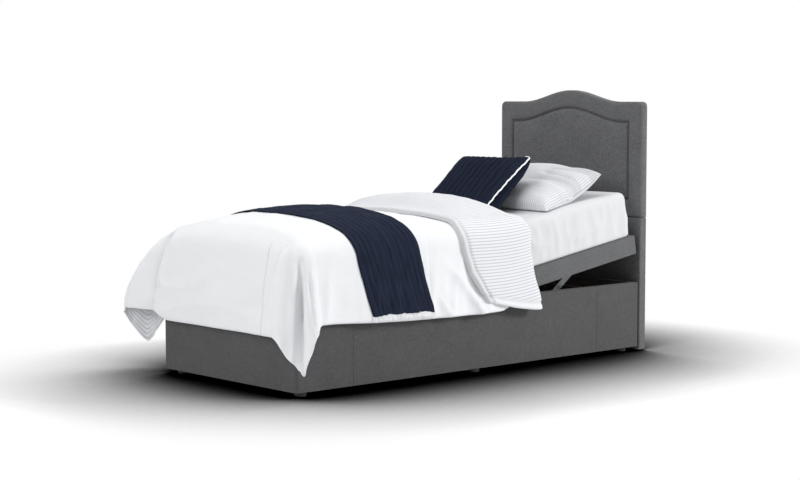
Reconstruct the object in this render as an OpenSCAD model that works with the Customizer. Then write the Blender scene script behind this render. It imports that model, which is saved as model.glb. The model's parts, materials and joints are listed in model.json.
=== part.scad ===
// Adjustable single bed: an upholstered base with a powered four-section deck, a two-part
// headboard, a mattress and its bedding. Millimetres.
// X runs across the bed, Y from the foot to the head and Z up. The origin is on the floor
// under the middle of the base. The back section is shown a little raised.

/* [Base] */
// Width of the upholstered base
base_w = 907; // [800:1:1000]
// Length of the upholstered base
base_l = 2030; // [1980:1:2150]
// Height of the top of the base above the floor
base_top = 320; // [300:1:380]
// Gap between the floor and the base, filled by the glides
floor_gap = 22; // [12:1:50]
// Thickness of the padded cover on the base
pad_t = 8; // [5:0.5:12]
// Thickness of the timber rails of the base
rail_t = 20; // [16:0.5:26]
// Radius of the upright corners of the base
corner_r = 16; // [10:0.5:20]
// Radius of the padded top edge of the base
edge_r = 7; // [3:0.5:8]
// Distance of the cover's upright seams from each end
seam_in = 290; // [200:1:400]
// Width of the cross bearers
bearer_w = 70; // [50:1:120]
// Height of the cross bearers
bearer_h = 25; // [18:1:40]
// Width of the corner blocks
block_w = 45; // [30:1:60]
// Diameter of the floor glides
glide_d = 50; // [30:1:65]

/* [Headboard] */
// Thickness of the padded headboard
head_t = 40; // [30:1:60]
// Distance by which the headboard stands out past each side of the base
head_over = 3.5; // [0:0.5:30]
// Height of the shoulders above the floor
shoulder_z = 1155; // [1080:1:1250]
// Rise of the arch above the shoulders
arch_rise = 54; // [20:1:90]
// Half of the width of the arch, as a share of the headboard's width
arch_half_share = 0.3337; // [0.24:0.01:0.37]
// Height of the seam between the two parts of the headboard
head_seam_z = 620; // [560:1:700]
// Width of the border outside the sewn groove
border_w = 84; // [60:1:120]
// Depth of the sewn groove
groove_deep = 6; // [3:0.5:9]
// Half of the width of the sewn groove
groove_half = 9; // [5:0.5:14]
// Radius of the rounded front edge
head_edge_r = 11; // [6:0.5:14]
// Radius of the corners of the shoulders
head_corner_r = 22; // [16:1:40]
// Gap between the headboard and the floor
head_floor_gap = 4; // [2:0.5:20]

/* [Deck] */
// Thickness of the upholstered deck
deck_h = 85; // [80:1:110]
// Gap between the base and the deck
deck_gap = 1; // [0.5:0.5:4]
// Gap between two deck sections
section_gap = 16; // [14:0.5:24]
// Thickness of the deck's fabric
skin_t = 4; // [2:0.5:6]
// Thickness of the plywood of the deck
ply_t = 12; // [9:0.5:18]
// Thickness of the timber edge of the deck
deck_rail_t = 18; // [14:0.5:25]
// Y of the hinge line between seat and back
back_y = 165; // [120:1:220]
// Y of the hinge line between seat and thigh
thigh_y = -80; // [-110:1:-60]
// Y of the knee hinge line
knee_y = -430; // [-450:1:-410]
// Distance of the deck's head end from the head end of the base
deck_head_in = 19; // [15:1:55]
// Distance of the deck's foot end from the foot end of the base
deck_foot_in = 9; // [7:1:30]
// Angle of the back section above flat, in degrees
back_rise = 9.3; // [0:0.1:20]

/* [Hinges] */
// Diameter of the hinge pins
pin_d = 6; // [5:0.5:7]
// Outer diameter of the hinge knuckles
knuckle_d = 12; // [10:0.5:12]
// Depth of the hinge axes below the top, or above the bottom, of the deck
hinge_drop = 10; // [8:0.5:14]
// Width of one hinge
hinge_w = 90; // [60:1:120]
// Distance of the outer hinges from the middle of the bed, as a share of the base's width
hinge_x_share = 0.2977; // [0.22:0.01:0.32]
// Height of the hinge leaves
leaf_h = 42; // [30:1:50]
// Thickness of the hinge leaves
leaf_t = 3; // [2:0.5:3]
// Radial clearance of a turning pin
pin_fit = 0.05; // [0.02:0.01:0.1]

/* [Steel frame] */
// Height of the steel tubes
tube_h = 40; // [30:1:50]
// Width of the steel tubes
tube_w = 25; // [20:1:30]
// Wall of the steel tubes
tube_wall = 2; // [1.5:0.5:3]
// Distance of the steel frame below the top of the base
frame_drop = 22; // [16:1:30]
// Distance of the steel frame's head end from the head end of the base
frame_head_in = 189; // [135:1:215]
// Distance of the steel frame's foot end from the foot end of the base
frame_foot_in = 35; // [30:1:50]
// Distance of the seat's cross tubes from the hinge lines
seat_tube_in = 50; // [45:1:60]
// Diameter of the frame bolts
bolt_d = 8; // [6:0.5:10]
// Distance of the foot end's frame bolts from the frame's end
bolt_in = 125; // [90:1:140]

/* [Lift mechanism] */
// Diameter of the torque tubes
torque_d = 30; // [25:0.5:34]
// Wall of the torque tubes
torque_wall = 3; // [2:0.5:4]
// Depth of the torque tubes below the hinge axes
tube_drop = 150; // [148:0.5:154]
// Depth of the roller tracks' line below the hinge axes
track_drop = 80; // [78:0.5:82]
// Distance of the back torque tube from its hinge line
back_tube_reach = 307.8; // [305:0.1:311]
// Length of the back lift arms
back_arm_l = 260.1; // [259:0.1:262]
// Distance of the leg torque tube from its hinge line
leg_tube_reach = 168.7; // [167:0.1:170]
// Length of the leg lift arms
leg_arm_l = 144.2; // [143.5:0.1:145]
// Distance of the lift rollers from the sides of the base
roller_in = 123.5; // [113:0.5:138]
// Diameter of the lift rollers
roller_d = 36; // [30:1:40]
// Width of the lift rollers
roller_w = 24; // [18:1:30]
// Clearance between the back rollers and their tracks
back_roller_gap = 1.04; // [1:0.02:1.5]
// Clearance between the leg rollers and their tracks
leg_roller_gap = 0.31; // [0.3:0.01:0.6]
// Width of the roller tracks
track_w = 40; // [34:1:50]
// Width of the drive unit
drive_w = 180; // [140:1:220]
// Distance of the swing links' calf pivots from the foot end of the deck
link_foot_in = 106; // [86:1:126]
// Depth of the frame pivots of the swing links below the top of the base
link_drop = 38; // [34:1:44]

/* [Mattress] */
// Distance of the mattress's sides from the sides of the deck
mattress_side_in = 5.5; // [0:0.5:20]
// Thickness of the mattress
mattress_h = 211.5; // [160:0.5:260]
// Radius of the mattress's top edges
mattress_r = 38; // [20:1:45]
// Radius of the mattress's upright corners
mattress_corner_r = 62; // [50:1:90]
// Distance of the mattress's foot end from the foot end of the deck
mattress_foot_in = 22; // [21:1:36]
// Distance of the mattress's head end from the head end of the deck
mattress_head_in = 20; // [5:1:50]
// Length of the soft bend on the thigh side of the hip
hip_bend_foot = 120; // [100:1:160]
// Length of the soft bend on the back side of the hip
hip_bend_head = 145; // [130:1:180]

/* [Duvet] */
// Height of the duvet's crown above the mattress
duvet_loft = 93; // [60:1:120]
// Distance of the start of the duvet's side rolls from the sides of the base
duvet_side_in = 62.5; // [55:0.5:70]
// Distance of the hanging duvet's outer side from the sides of the base, at its top
side_stand = 22.5; // [18:0.5:30]
// Distance of the hanging duvet's outer side from the foot of the base, at its top
foot_stand = 5; // [4:0.5:15]
// Length of cloth from the start of the roll to the hem at the sides
side_drape_l = 438; // [360:1:450]
// Length of cloth from the start of the roll to the hem at the foot
foot_drape_l = 462; // [360:1:475]
// Distance that the drape's inner side keeps from base and mattress
drape_gap = 1.5; // [0.5:0.5:4]
// Distance between the duvet and the mattress's top
rest_gap = 0.4; // [0.3:0.1:1]
// Furthest reach of the corner folds
fold_reach = 200; // [120:1:220]
// Distance of the foot end of the turned-down part from the hip line of the back
turn_foot_in = 315; // [285:1:325]
// Distance of the duvet's head end from the hip line, as a share of the mattress beyond it
turn_head_share = 0.0851; // [0.075:0.001:0.092]
// Thickness that the turned-down layer adds at the sides
turn_t = 27; // [20:1:40]
// Height of the turned-down part's crest above the duvet
turn_crest = 95; // [60:1:110]

/* [Runner] */
// Width of the bed runner, as a share of the duvet between its foot roll and its turned-down part
runner_w_share = 0.4204; // [0.26:0.01:0.5]
// Place of the runner's middle on the same length, from the foot, as a share
runner_mid_share = 0.4382; // [0.42:0.01:0.46]
// Thickness of the bed runner
runner_t = 5; // [3:0.5:8]
// Height of the runner's ribs
rib_h = 2.5; // [1:0.5:4]
// Length of cloth from the start of the roll to the runner's hem
runner_drape_l = 425; // [300:1:430]

/* [Pillow and cushion] */
// Length of the pillow, as a share of the base's width
pillow_l_share = 0.871; // [0.66:0.01:0.95]
// Depth of the pillow, as a share of the mattress beyond the hip line
pillow_w_share = 0.6042; // [0.5:0.01:0.61]
// Thickness of the plumped pillow, as a share of its depth
pillow_h_share = 0.3367; // [0.25:0.01:0.4]
// Width of the cushion, as a share of the base's width
cushion_w_share = 0.4741; // [0.39:0.01:0.55]
// Height of the cushion, as a share of the mattress beyond the hip line
cushion_h_share = 0.4488; // [0.38:0.01:0.45]
// Thickness of the cushion, as a share of its height
cushion_t_share = 0.3077; // [0.22:0.01:0.31]
// Lean of the cushion from upright, in degrees
cushion_lean = 45; // [35:1:55]

/* [Hidden] */
$fn = 48;
over = 4; // overrun of cuts, so that no face of a cut meets a face of its piece
grey = "dimgray";

// Levels and faces that several pieces share
base_h = base_top - floor_gap;
rail_out = base_w / 2 - pad_t;
rail_in = rail_out - rail_t;
end_out = base_l / 2 - pad_t;
end_in = end_out - rail_t;
rail_top = base_top - pad_t;
seam_gap = 1.2;
seam_y = base_l / 2 - seam_in;
deck_bottom = base_top + deck_gap;
deck_top = deck_bottom + deck_h;
ply_top = deck_top - skin_t;
ply_bottom = ply_top - ply_t;
half_gap = section_gap / 2;
hip_z = deck_top - hinge_drop;
knee_z = deck_bottom + hinge_drop;
frame_top = base_top - frame_drop;
frame_bottom = frame_top - tube_h;
frame_in = rail_in - tube_w;
mattress_bottom = deck_top + 0.5 * deck_gap;
mattress_top = mattress_bottom + mattress_h;
head_w = base_w + 2 * head_over;
arch_half = arch_half_share * head_w;
deck_head_y = base_l / 2 - deck_head_in;
deck_foot_y = deck_foot_in - base_l / 2;
frame_head_y = base_l / 2 - frame_head_in;
frame_foot_y = frame_foot_in - base_l / 2;
hinge_x = hinge_x_share * base_w;
roller_x = base_w / 2 - roller_in;
link_y = deck_foot_y + link_foot_in + thigh_y - knee_y;
mattress_w = base_w - 2 * mattress_side_in;
mattress_foot_y = deck_foot_y + mattress_foot_in;
mattress_head_y = deck_head_y - mattress_head_in;

// The lines of the bedding
roll_r = duvet_side_in + side_stand;
duvet_top_half = base_w / 2 - duvet_side_in;
duvet_roll_y = roll_r - foot_stand - base_l / 2;
back_bed_l = mattress_head_y - back_y;
turn_foot_y = back_y - turn_foot_in;
turn_head_y = back_y + turn_head_share * back_bed_l;
runner_w = runner_w_share * (turn_foot_y - duvet_roll_y);
runner_y = duvet_roll_y + runner_mid_share * (turn_foot_y - duvet_roll_y);
pillow_l = pillow_l_share * base_w;
pillow_w = pillow_w_share * back_bed_l;
pillow_h = pillow_h_share * pillow_w;
cushion_w = cushion_w_share * base_w;
cushion_h = cushion_h_share * back_bed_l;
cushion_t = cushion_t_share * cushion_h;

// A rectangle with rounded corners
module rounded_rect(w, l, r) {
    square([w - 2 * r, l], center = true);
    square([w, l - 2 * r], center = true);
    for (sx = [-1, 1], sy = [-1, 1])
        translate([sx * (w / 2 - r), sy * (l / 2 - r)]) circle(r);
}

// An upright cross-section, w wide and h high, with rounded top corners
module edge_profile(w, h, r) {
    translate([-w / 2, 0]) square([w, h - r]);
    translate([-w / 2 + r, 0]) square([w - 2 * r, h]);
    for (s = [-1, 1]) translate([s * (w / 2 - r), h - r]) circle(r);
}

// A padded box on z = 0: upright corners of radius r_up, top edges of radius r_top
module padded_box(w, l, h, r_up, r_top) {
    intersection() {
        linear_extrude(h) rounded_rect(w, l, r_up);
        rotate([90, 0, 0]) linear_extrude(l + over, center = true) edge_profile(w, h, r_top);
        rotate([90, 0, 90]) linear_extrude(w + over, center = true) edge_profile(l, h, r_top);
    }
}

// A box between two Y values, centred on X, from z0 to z1
module span_box(w, y0, y1, z0, z1) {
    translate([-w / 2, y0, z0]) cube([w, y1 - y0, z1 - z0]);
}

// A cylinder along X between x0 and x1
module rod_x(x0, x1, d) {
    translate([x0, 0, 0]) rotate([0, 90, 0]) cylinder(h = x1 - x0, d = d);
}

// A copy on the left side for each piece on the right side
module both_sides() {
    children();
    mirror([1, 0, 0]) children();
}

// Turns a piece of the flat back section to its raised place
module raised() {
    translate([0, back_y, hip_z]) rotate([back_rise, 0, 0]) translate([0, -back_y, -hip_z]) children();
}

// Base: covers over timber rails

module base_cover_ring() {
    difference() {
        translate([0, 0, floor_gap]) padded_box(base_w, base_l, base_h, corner_r, edge_r);
        span_box(2 * rail_out, -end_out, end_out, floor_gap - over, rail_top);
        span_box(2 * rail_in, -end_in, end_in, floor_gap - over, base_top + over);
    }
}

headboard_bolt_xs = [-base_w * 0.28, base_w * 0.28];
headboard_bolt_zs = [base_top * 0.35, base_top * 0.75];

// Holes for the headboard's bolts, through the head end of the base and the headboard
module headboard_bolt_holes() {
    for (x = headboard_bolt_xs, z = headboard_bolt_zs) translate([x, end_in - over, z]) rotate([-90, 0, 0])
        cylinder(h = base_l / 2 + head_t + 2 * over - end_in, d = bolt_d);
}

module base_cover_foot() {
    color(grey) intersection() {
        base_cover_ring();
        span_box(base_w + over, -base_l, -seam_y - seam_gap / 2, 0, base_top + over);
    }
}

module base_cover_head() {
    color(grey) difference() {
        intersection() {
            base_cover_ring();
            span_box(base_w + over, seam_y + seam_gap / 2, base_l, 0, base_top + over);
        }
        headboard_bolt_holes();
    }
}

// The middle of a long side, between the two seams
module base_cover_side(side) {
    color(grey) intersection() {
        base_cover_ring();
        translate([side * base_w / 2, 0, 0])
            span_box(base_w, -seam_y + seam_gap / 2, seam_y - seam_gap / 2, 0, base_top + over);
    }
}

module base_cover_left() {
    base_cover_side(-1);
}

module base_cover_right() {
    base_cover_side(1);
}

// Torque tubes, on which the drive and the lift arms turn
back_tube_y = back_y + back_tube_reach;
leg_tube_y = thigh_y - leg_tube_reach;

// Frame bolts near the foot, between links and leg tube, beside the seat and near the head
bolt_ys = [frame_foot_y + bolt_in, (link_y + leg_tube_y) / 2, (back_y + back_tube_y) / 2, frame_head_y - bolt_in / 2];

module base_side_rails() {
    color("burlywood") both_sides() difference() {
        translate([rail_in, -end_out, floor_gap]) cube([rail_t, 2 * end_out, rail_top - floor_gap]);
        for (y = bolt_ys)
            translate([0, y, frame_top - tube_h / 2]) rod_x(rail_in - over, rail_out + over, bolt_d);
    }
}

module base_end_rails() {
    color("burlywood") {
        span_box(2 * rail_in, -end_out, -end_in, floor_gap, rail_top);
        difference() {
            span_box(2 * rail_in, end_in, end_out, floor_gap, rail_top);
            headboard_bolt_holes();
        }
    }
}

module base_corner_blocks() {
    color("burlywood") for (sx = [-1, 1], sy = [-1, 1])
        scale([sx, sy, 1]) translate([rail_in - block_w, end_in - block_w, floor_gap + bearer_h])
            linear_extrude(frame_bottom - floor_gap - bearer_h)
                polygon([[block_w, 0], [block_w, block_w], [0, block_w]]);
}

bearer_ys = [-end_in + bearer_w / 2, 0, end_in - bearer_w / 2];

module base_bearers() {
    color("burlywood") for (y = bearer_ys)
        span_box(2 * rail_in, y - bearer_w / 2, y + bearer_w / 2, floor_gap, floor_gap + bearer_h);
}

// Turned glides with a chamfered foot
glide_chamfer = 3;
module floor_glides() {
    glide_x = rail_in - glide_d / 2 - glide_chamfer;
    color("black") for (sx = [-1, 1], y = bearer_ys) translate([sx * glide_x, y, 0]) {
        cylinder(h = glide_chamfer, d1 = glide_d - 2 * glide_chamfer, d2 = glide_d);
        translate([0, 0, glide_chamfer]) cylinder(h = floor_gap - glide_chamfer, d = glide_d);
    }
}

// Headboard: padded panel with an arched top and a sewn border

head_front_y = base_l / 2;
arc_steps = 5;
arch_steps = 28;

// Height of the top outline at x, for an outline drawn in by inset
function arch_z(x, inset) =
    let (half = arch_half - inset / 4, t = min(1, abs(x) / half))
    shoulder_z - inset + arch_rise * (0.5 + 0.5 * cos(180 * t));

// The outline of the upper panel, drawn in by inset: a list of [x, z]
function panel_outline(inset) =
    let (
        w = head_w / 2 - inset,
        r = max(head_corner_r - inset, head_corner_r / 4),
        low = head_seam_z + inset,
        x_top = w - r,
        z_arc = arch_z(x_top, inset) - r
    )
    concat(
        [[-w, low], [w, low]],
        [for (i = [0 : arc_steps]) let (a = 90 * i / arc_steps) [x_top + r * cos(a), z_arc + r * sin(a)]],
        [for (i = [1 : arch_steps - 1]) let (x = x_top - 2 * x_top * i / arch_steps) [x, arch_z(x, inset)]],
        [for (i = [0 : arc_steps]) let (a = 90 + 90 * i / arc_steps) [-x_top + r * cos(a), z_arc + r * sin(a)]]
    );

// Rings of the padded face: inset from the outline and depth behind the front plane
crown_deep_share = 0.35;
function panel_rings(r, groove) = concat(
    [[0, head_t], [0, r]],
    [for (a = [30, 60, 90]) [r * (1 - cos(a)), r * (1 - sin(a))]],
    groove ? [
        [border_w - groove_half, 0],
        [border_w - groove_half / 3, groove_deep * 0.8],
        [border_w, groove_deep],
        [border_w + groove_half / 3, groove_deep * 0.8],
        [border_w + groove_half * 1.5, groove_deep * crown_deep_share],
        [border_w + groove_half * 4, 0]
    ] : []
);

module headboard_upper() {
    rings = panel_rings(head_edge_r, true);
    outlines = [for (ring = rings) [for (p = panel_outline(ring[0])) [p[0], head_front_y + ring[1], p[1]]]];
    n = len(outlines[0]);
    m = len(rings);
    sides = [for (k = [0 : m - 2], i = [0 : n - 1]) let (j = (i + 1) % n)
        each [[k * n + i, k * n + j, (k + 1) * n + j], [k * n + i, (k + 1) * n + j, (k + 1) * n + i]]];
    back = [[for (i = [n - 1 : -1 : 0]) i]];
    front = [[for (i = [0 : n - 1]) (m - 1) * n + i]];
    color(grey) polyhedron(points = [for (o = outlines) each o], faces = concat(sides, back, front));
}

module headboard_lower() {
    lower_h = head_seam_z - seam_gap - head_floor_gap;
    color(grey) difference() {
        translate([0, head_front_y + head_t, head_floor_gap + lower_h / 2]) rotate([90, 0, 0])
            padded_box(head_w, lower_h, head_t, edge_r, edge_r);
        headboard_bolt_holes();
        for (x = headboard_bolt_xs, z = headboard_bolt_zs) translate([x, head_front_y + head_t - bolt_head_h, z])
            rotate([-90, 0, 0]) cylinder(h = bolt_head_h + over, d = bolt_head_d + over);
    }
}

// Flat steel plates across the seam, on the hidden back of the headboard
plate_t = 3;
plate_w = 60;
plate_h = 180;
module headboard_plates() {
    color("silver") both_sides()
        translate([base_w * 0.28, head_front_y + head_t, head_seam_z - plate_h / 2]) rotate([-90, -90, 0])
            linear_extrude(plate_t) translate([plate_h / 2, 0]) difference() {
                rounded_rect(plate_h, plate_w, plate_w / 4);
                for (share = [-0.36, -0.18, 0.18, 0.36]) translate([share * plate_h, 0]) circle(d = bolt_d);
            }
}

bolt_head_d = 16;
bolt_head_h = 6;
module headboard_bolts() {
    color("silver") for (x = headboard_bolt_xs, z = headboard_bolt_zs)
        translate([x, end_in, z]) rotate([-90, 0, 0]) {
            reach = head_front_y + head_t - bolt_head_h - end_in;
            cylinder(h = reach, d = bolt_d);
            translate([0, 0, reach]) cylinder(h = bolt_head_h, d = bolt_head_d, $fn = 6);
        }
}

// Steel frame inside the base

// A rectangular tube along Y
module tube_y(y0, y1, w, h, wall) {
    translate([0, y1, 0]) rotate([90, 0, 0]) linear_extrude(y1 - y0) difference() {
        square([w, h]);
        translate([wall, wall]) square([w - 2 * wall, h - 2 * wall]);
    }
}

module frame_side_tubes() {
    color("dimgray") both_sides() difference() {
        translate([frame_in, 0, frame_bottom]) tube_y(frame_foot_y, frame_head_y, tube_w, tube_h, tube_wall);
        for (y = bolt_ys)
            translate([0, y, frame_top - tube_h / 2]) rod_x(frame_in - over, rail_in + over, bolt_d);
    }
}

seat_tube_ys = [thigh_y + seat_tube_in, back_y - seat_tube_in];
cross_tube_ys = concat([frame_foot_y + tube_w / 2], seat_tube_ys, [frame_head_y - tube_w / 2]);

module frame_cross_tubes() {
    color("dimgray") for (y = cross_tube_ys)
        translate([-frame_in, y - tube_w / 2, frame_bottom]) rotate([90, 0, 90])
            linear_extrude(2 * frame_in) difference() {
                square([tube_w, tube_h]);
                translate([tube_wall, tube_wall]) square([tube_w - 2 * tube_wall, tube_h - 2 * tube_wall]);
            }
}

module frame_bolts() {
    head_l = bolt_d * 0.6;
    color("silver") both_sides() for (y = bolt_ys) translate([0, y, frame_top - tube_h / 2]) {
        rod_x(frame_in, rail_out, bolt_d);
        rod_x(frame_in - head_l, frame_in, 1.7 * bolt_d);
    }
}

torque_z = hip_z - tube_drop;
bearing_t = 8;
bearing_fit = 0.1;

module bearing_plates() {
    color("silver") both_sides() for (y = [back_tube_y, leg_tube_y]) translate([frame_in - bearing_t, y, 0])
        rotate([90, 0, 90]) linear_extrude(bearing_t) difference() {
            union() {
                translate([-torque_d, torque_z]) square([2 * torque_d, frame_top - torque_z]);
                translate([0, torque_z]) circle(torque_d);
            }
            translate([0, torque_z]) circle(torque_d / 2 + bearing_fit);
        }
}

// Posts that carry the seat section on the frame's cross tubes
post_w = 30;
module seat_posts() {
    color("dimgray") both_sides() for (y = seat_tube_ys)
        translate([base_w * 0.28 - post_w / 2, y - tube_w / 2, frame_top]) linear_extrude(ply_bottom - frame_top)
            difference() {
                square([post_w, tube_w]);
                translate([tube_wall, tube_wall]) square([post_w - 2 * tube_wall, tube_w - 2 * tube_wall]);
            }
}

// Twin drive: a housing that hangs on both torque tubes
drive_fit = 0.3;
drive_lobe_r = 35;
drive_body_h = 78;
drive_rib_t = 4;
drive_body_top = frame_bottom - drive_rib_t;
drive_lobe_y_share = 0.16;

module drive_outline(grow) {
    spread = back_tube_y - leg_tube_y;
    for (y = [leg_tube_y, back_tube_y]) translate([y, torque_z]) circle(drive_lobe_r + grow);
    translate([leg_tube_y, drive_body_top - drive_body_h - grow]) square([spread, drive_body_h + 2 * grow]);
}

module drive_unit() {
    color([0.16, 0.16, 0.17]) difference() {
        union() {
            translate([-drive_w / 2, 0, 0]) rotate([90, 0, 90]) linear_extrude(drive_w) drive_outline(0);
            for (share = [-0.5, -0.17, 0.17, 0.5]) translate([share * (drive_w - drive_rib_t) - drive_rib_t / 2, 0, 0])
                rotate([90, 0, 90]) linear_extrude(drive_rib_t) drive_outline(drive_rib_t);
        }
        for (y = [leg_tube_y, back_tube_y]) translate([0, y, torque_z])
            rod_x(-drive_w, drive_w, torque_d + 2 * drive_fit);
    }
}

motor_d = 62;
motor_l = 90;
motor_sink_h = 4;
module drive_motors() {
    spread = back_tube_y - leg_tube_y;
    motor_top = drive_body_top - drive_body_h - drive_rib_t;
    color([0.22, 0.22, 0.23]) for (share = [0.33, 0.67]) translate([0, leg_tube_y + share * spread, motor_top]) {
        translate([0, 0, -motor_l / 6]) cylinder(h = motor_l / 6, d = motor_d * 1.25);
        translate([-motor_l / 2, 0, -motor_l / 6 - motor_d / 2 + motor_sink_h]) rod_x(0, motor_l, motor_d);
    }
}

box_w = 170;
box_l = 110;
box_h = 42;
socket_w = 27;
socket_h = 20;
module control_box() {
    box_y = seat_tube_ys[0] - tube_w / 2;
    color([0.14, 0.14, 0.15]) difference() {
        translate([drive_w / 2 + box_w, box_y + box_l / 2, frame_bottom - box_h])
            padded_box(box_w, box_l, box_h, corner_r / 2, edge_r / 4);
        translate([drive_w / 2 + box_w, box_y, frame_bottom - box_h / 2])
            cube([socket_w, socket_w, socket_h], center = true);
        for (share = [-0.36, -0.2, 0.2, 0.36])
            translate([drive_w / 2 + box_w + share * box_w, box_y, frame_bottom - box_h / 2])
                cube([socket_h / 2, socket_h, socket_h / 2], center = true);
    }
}

// Deck sections: a ply board on a timber edge, in a fabric skin

module section_cover(y0, y1) {
    w = base_w;
    l = y1 - y0;
    color(grey) difference() {
        translate([0, (y0 + y1) / 2, deck_bottom]) padded_box(w, l, deck_h, corner_r / 2, edge_r);
        span_box(w - 2 * skin_t, y0 + skin_t, y1 - skin_t, deck_bottom - over, ply_top);
    }
}

module section_deck(y0, y1) {
    w = base_w - 2 * skin_t;
    color("burlywood") difference() {
        span_box(w, y0 + skin_t, y1 - skin_t, deck_bottom + skin_t, ply_top);
        span_box(w - 2 * deck_rail_t, y0 + skin_t + deck_rail_t, y1 - skin_t - deck_rail_t,
            deck_bottom - over, ply_bottom);
    }
}

module seat_cover() {
    section_cover(thigh_y + half_gap, back_y - half_gap);
}

module seat_deck() {
    section_deck(thigh_y + half_gap, back_y - half_gap);
}

module back_cover() {
    raised() section_cover(back_y + half_gap, deck_head_y);
}

module back_deck() {
    raised() section_deck(back_y + half_gap, deck_head_y);
}

module thigh_cover() {
    section_cover(knee_y + half_gap, thigh_y - half_gap);
}

module thigh_deck() {
    section_deck(knee_y + half_gap, thigh_y - half_gap);
}

module calf_cover() {
    section_cover(deck_foot_y, knee_y - half_gap);
}

module calf_deck() {
    section_deck(deck_foot_y, knee_y - half_gap);
}

// Butt hinges on the ends of the sections. The axis is at the origin of each half, along X,
// and the leaf hangs down on the side that side_y names.
knuckle_play = 0.4;
knuckle_l = hinge_w / 3;

module hinge_half(side_y, own) {
    face = half_gap;
    difference() {
        union() {
            translate([-hinge_w / 2, min(side_y * face, side_y * (face - leaf_t)), -leaf_h])
                cube([hinge_w, leaf_t, leaf_h - knuckle_d / 2 - knuckle_play]);
            for (k = own) translate([(k - 0.5) * knuckle_l + knuckle_play, 0, 0]) {
                web = knuckle_l - 2 * knuckle_play;
                rod_x(0, web, knuckle_d);
                translate([0, side_y > 0 ? 0 : -face, -knuckle_d / 2 - knuckle_play - leaf_t])
                    cube([web, face, knuckle_d / 2 + knuckle_play + leaf_t]);
            }
        }
        rod_x(-hinge_w, hinge_w, len(own) > 1 ? pin_d : pin_d + 2 * pin_fit);
        for (k = [-1, 0, 1]) if (len(search(k, own)) == 0)
            translate([(k - 0.5) * knuckle_l, 0, 0]) rod_x(0, knuckle_l, knuckle_d + 2 * knuckle_play);
    }
}

outer = [-1, 1];
inner = [0];

module hinge_row(y, z, side_y, own, up = false) {
    for (x = [-hinge_x, 0, hinge_x]) translate([x, y, z]) mirror([0, 0, up ? 1 : 0]) hinge_half(side_y, own);
}

module hinge_pin_row(y, z) {
    for (x = [-hinge_x, 0, hinge_x]) translate([x, y, z]) rod_x(-hinge_w / 2, hinge_w / 2, pin_d);
}

module hip_hinge_leaves() {
    color("silver") {
        hinge_row(back_y, hip_z, -1, outer);
        hinge_row(thigh_y, hip_z, 1, outer);
    }
}

module hip_hinge_pins() {
    color("gray") {
        hinge_pin_row(back_y, hip_z);
        hinge_pin_row(thigh_y, hip_z);
    }
}

module back_hinge_leaves() {
    color("silver") raised() hinge_row(back_y, hip_z, 1, inner);
}

module thigh_hinge_leaves() {
    color("silver") hinge_row(thigh_y, hip_z, -1, inner);
}

module knee_hinge_leaves() {
    color("silver") hinge_row(knee_y, knee_z, 1, outer, up = true);
}

module knee_hinge_pins() {
    color("gray") hinge_pin_row(knee_y, knee_z);
}

module calf_hinge_leaves() {
    color("silver") hinge_row(knee_y, knee_z, -1, inner, up = true);
}

// Roller tracks under the boards of the back and the thigh
track_face = hip_z - track_drop + roller_d / 2;
track_wall = 2.5;
track_first = 55;
back_track_end = 600;
thigh_track_end = 318;

module tracks(y0, y1) {
    color("silver") both_sides() translate([roller_x - track_w / 2, 0, track_face])
        tube_y(y0, y1, track_w, ply_bottom - track_face, track_wall);
}

module back_tracks() {
    raised() tracks(back_y + track_first, back_y + back_track_end);
}

module thigh_tracks() {
    tracks(thigh_y - thigh_track_end, thigh_y - track_first);
}

// Torque tubes with their lift arms. An arm's angle sets its roller against the track when
// the section stands at the angle rise.
function arm_angle(reach, arm_l, gap, rise) =
    rise + asin((reach * sin(rise) + tube_drop * cos(rise) - track_drop - gap) / arm_l);

back_arm_a = arm_angle(back_tube_reach, back_arm_l, back_roller_gap, back_rise);
leg_arm_a = arm_angle(leg_tube_reach, leg_arm_l, leg_roller_gap, 0);
arm_t = 8;
arm_w = 28;
axle_d = 12;
axle_play = 0.5;
washer_t = 2;
arm_face = roller_x + roller_w / 2 + washer_t + axle_play;

module torque_tube(y) {
    color("dimgray") translate([0, y, torque_z]) difference() {
        rod_x(-frame_in + axle_play, frame_in - axle_play, torque_d);
        rod_x(-frame_in, frame_in, torque_d - 2 * torque_wall);
    }
}

module lift_arms(y, arm_l, angle) {
    color("silver") both_sides() translate([0, y, torque_z]) rotate([angle, 0, 0]) difference() {
        union() {
            translate([arm_face, 0, 0]) rotate([90, 0, 90]) linear_extrude(arm_t) {
                circle(torque_d * 0.85);
                translate([0, -arm_w / 2]) square([arm_l, arm_w]);
                translate([arm_l, 0]) circle(arm_w / 2);
            }
            translate([0, arm_l, 0]) {
                rod_x(roller_x - roller_w / 2 - axle_play - washer_t, arm_face, axle_d);
                rod_x(arm_face - washer_t, arm_face, axle_d * 1.6);
                rod_x(roller_x - roller_w / 2 - axle_play - washer_t, roller_x - roller_w / 2 - axle_play, axle_d * 1.6);
            }
        }
        rod_x(0, base_w, torque_d);
    }
}

module rollers(y, arm_l, angle) {
    color("white") both_sides() translate([0, y, torque_z]) rotate([angle, 0, 0]) translate([0, arm_l, 0]) difference() {
        rod_x(roller_x - roller_w / 2, roller_x + roller_w / 2, roller_d);
        rod_x(0, base_w, axle_d + 2 * pin_fit);
    }
}

module back_torque_tube() {
    torque_tube(back_tube_y);
}

module back_lift_arms() {
    lift_arms(back_tube_y, back_arm_l, back_arm_a);
}

module back_rollers() {
    rollers(back_tube_y, back_arm_l, back_arm_a);
}

module leg_torque_tube() {
    torque_tube(leg_tube_y);
}

module leg_lift_arms() {
    lift_arms(leg_tube_y, leg_arm_l, 180 - leg_arm_a);
}

module leg_rollers() {
    rollers(leg_tube_y, leg_arm_l, 180 - leg_arm_a);
}

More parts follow.
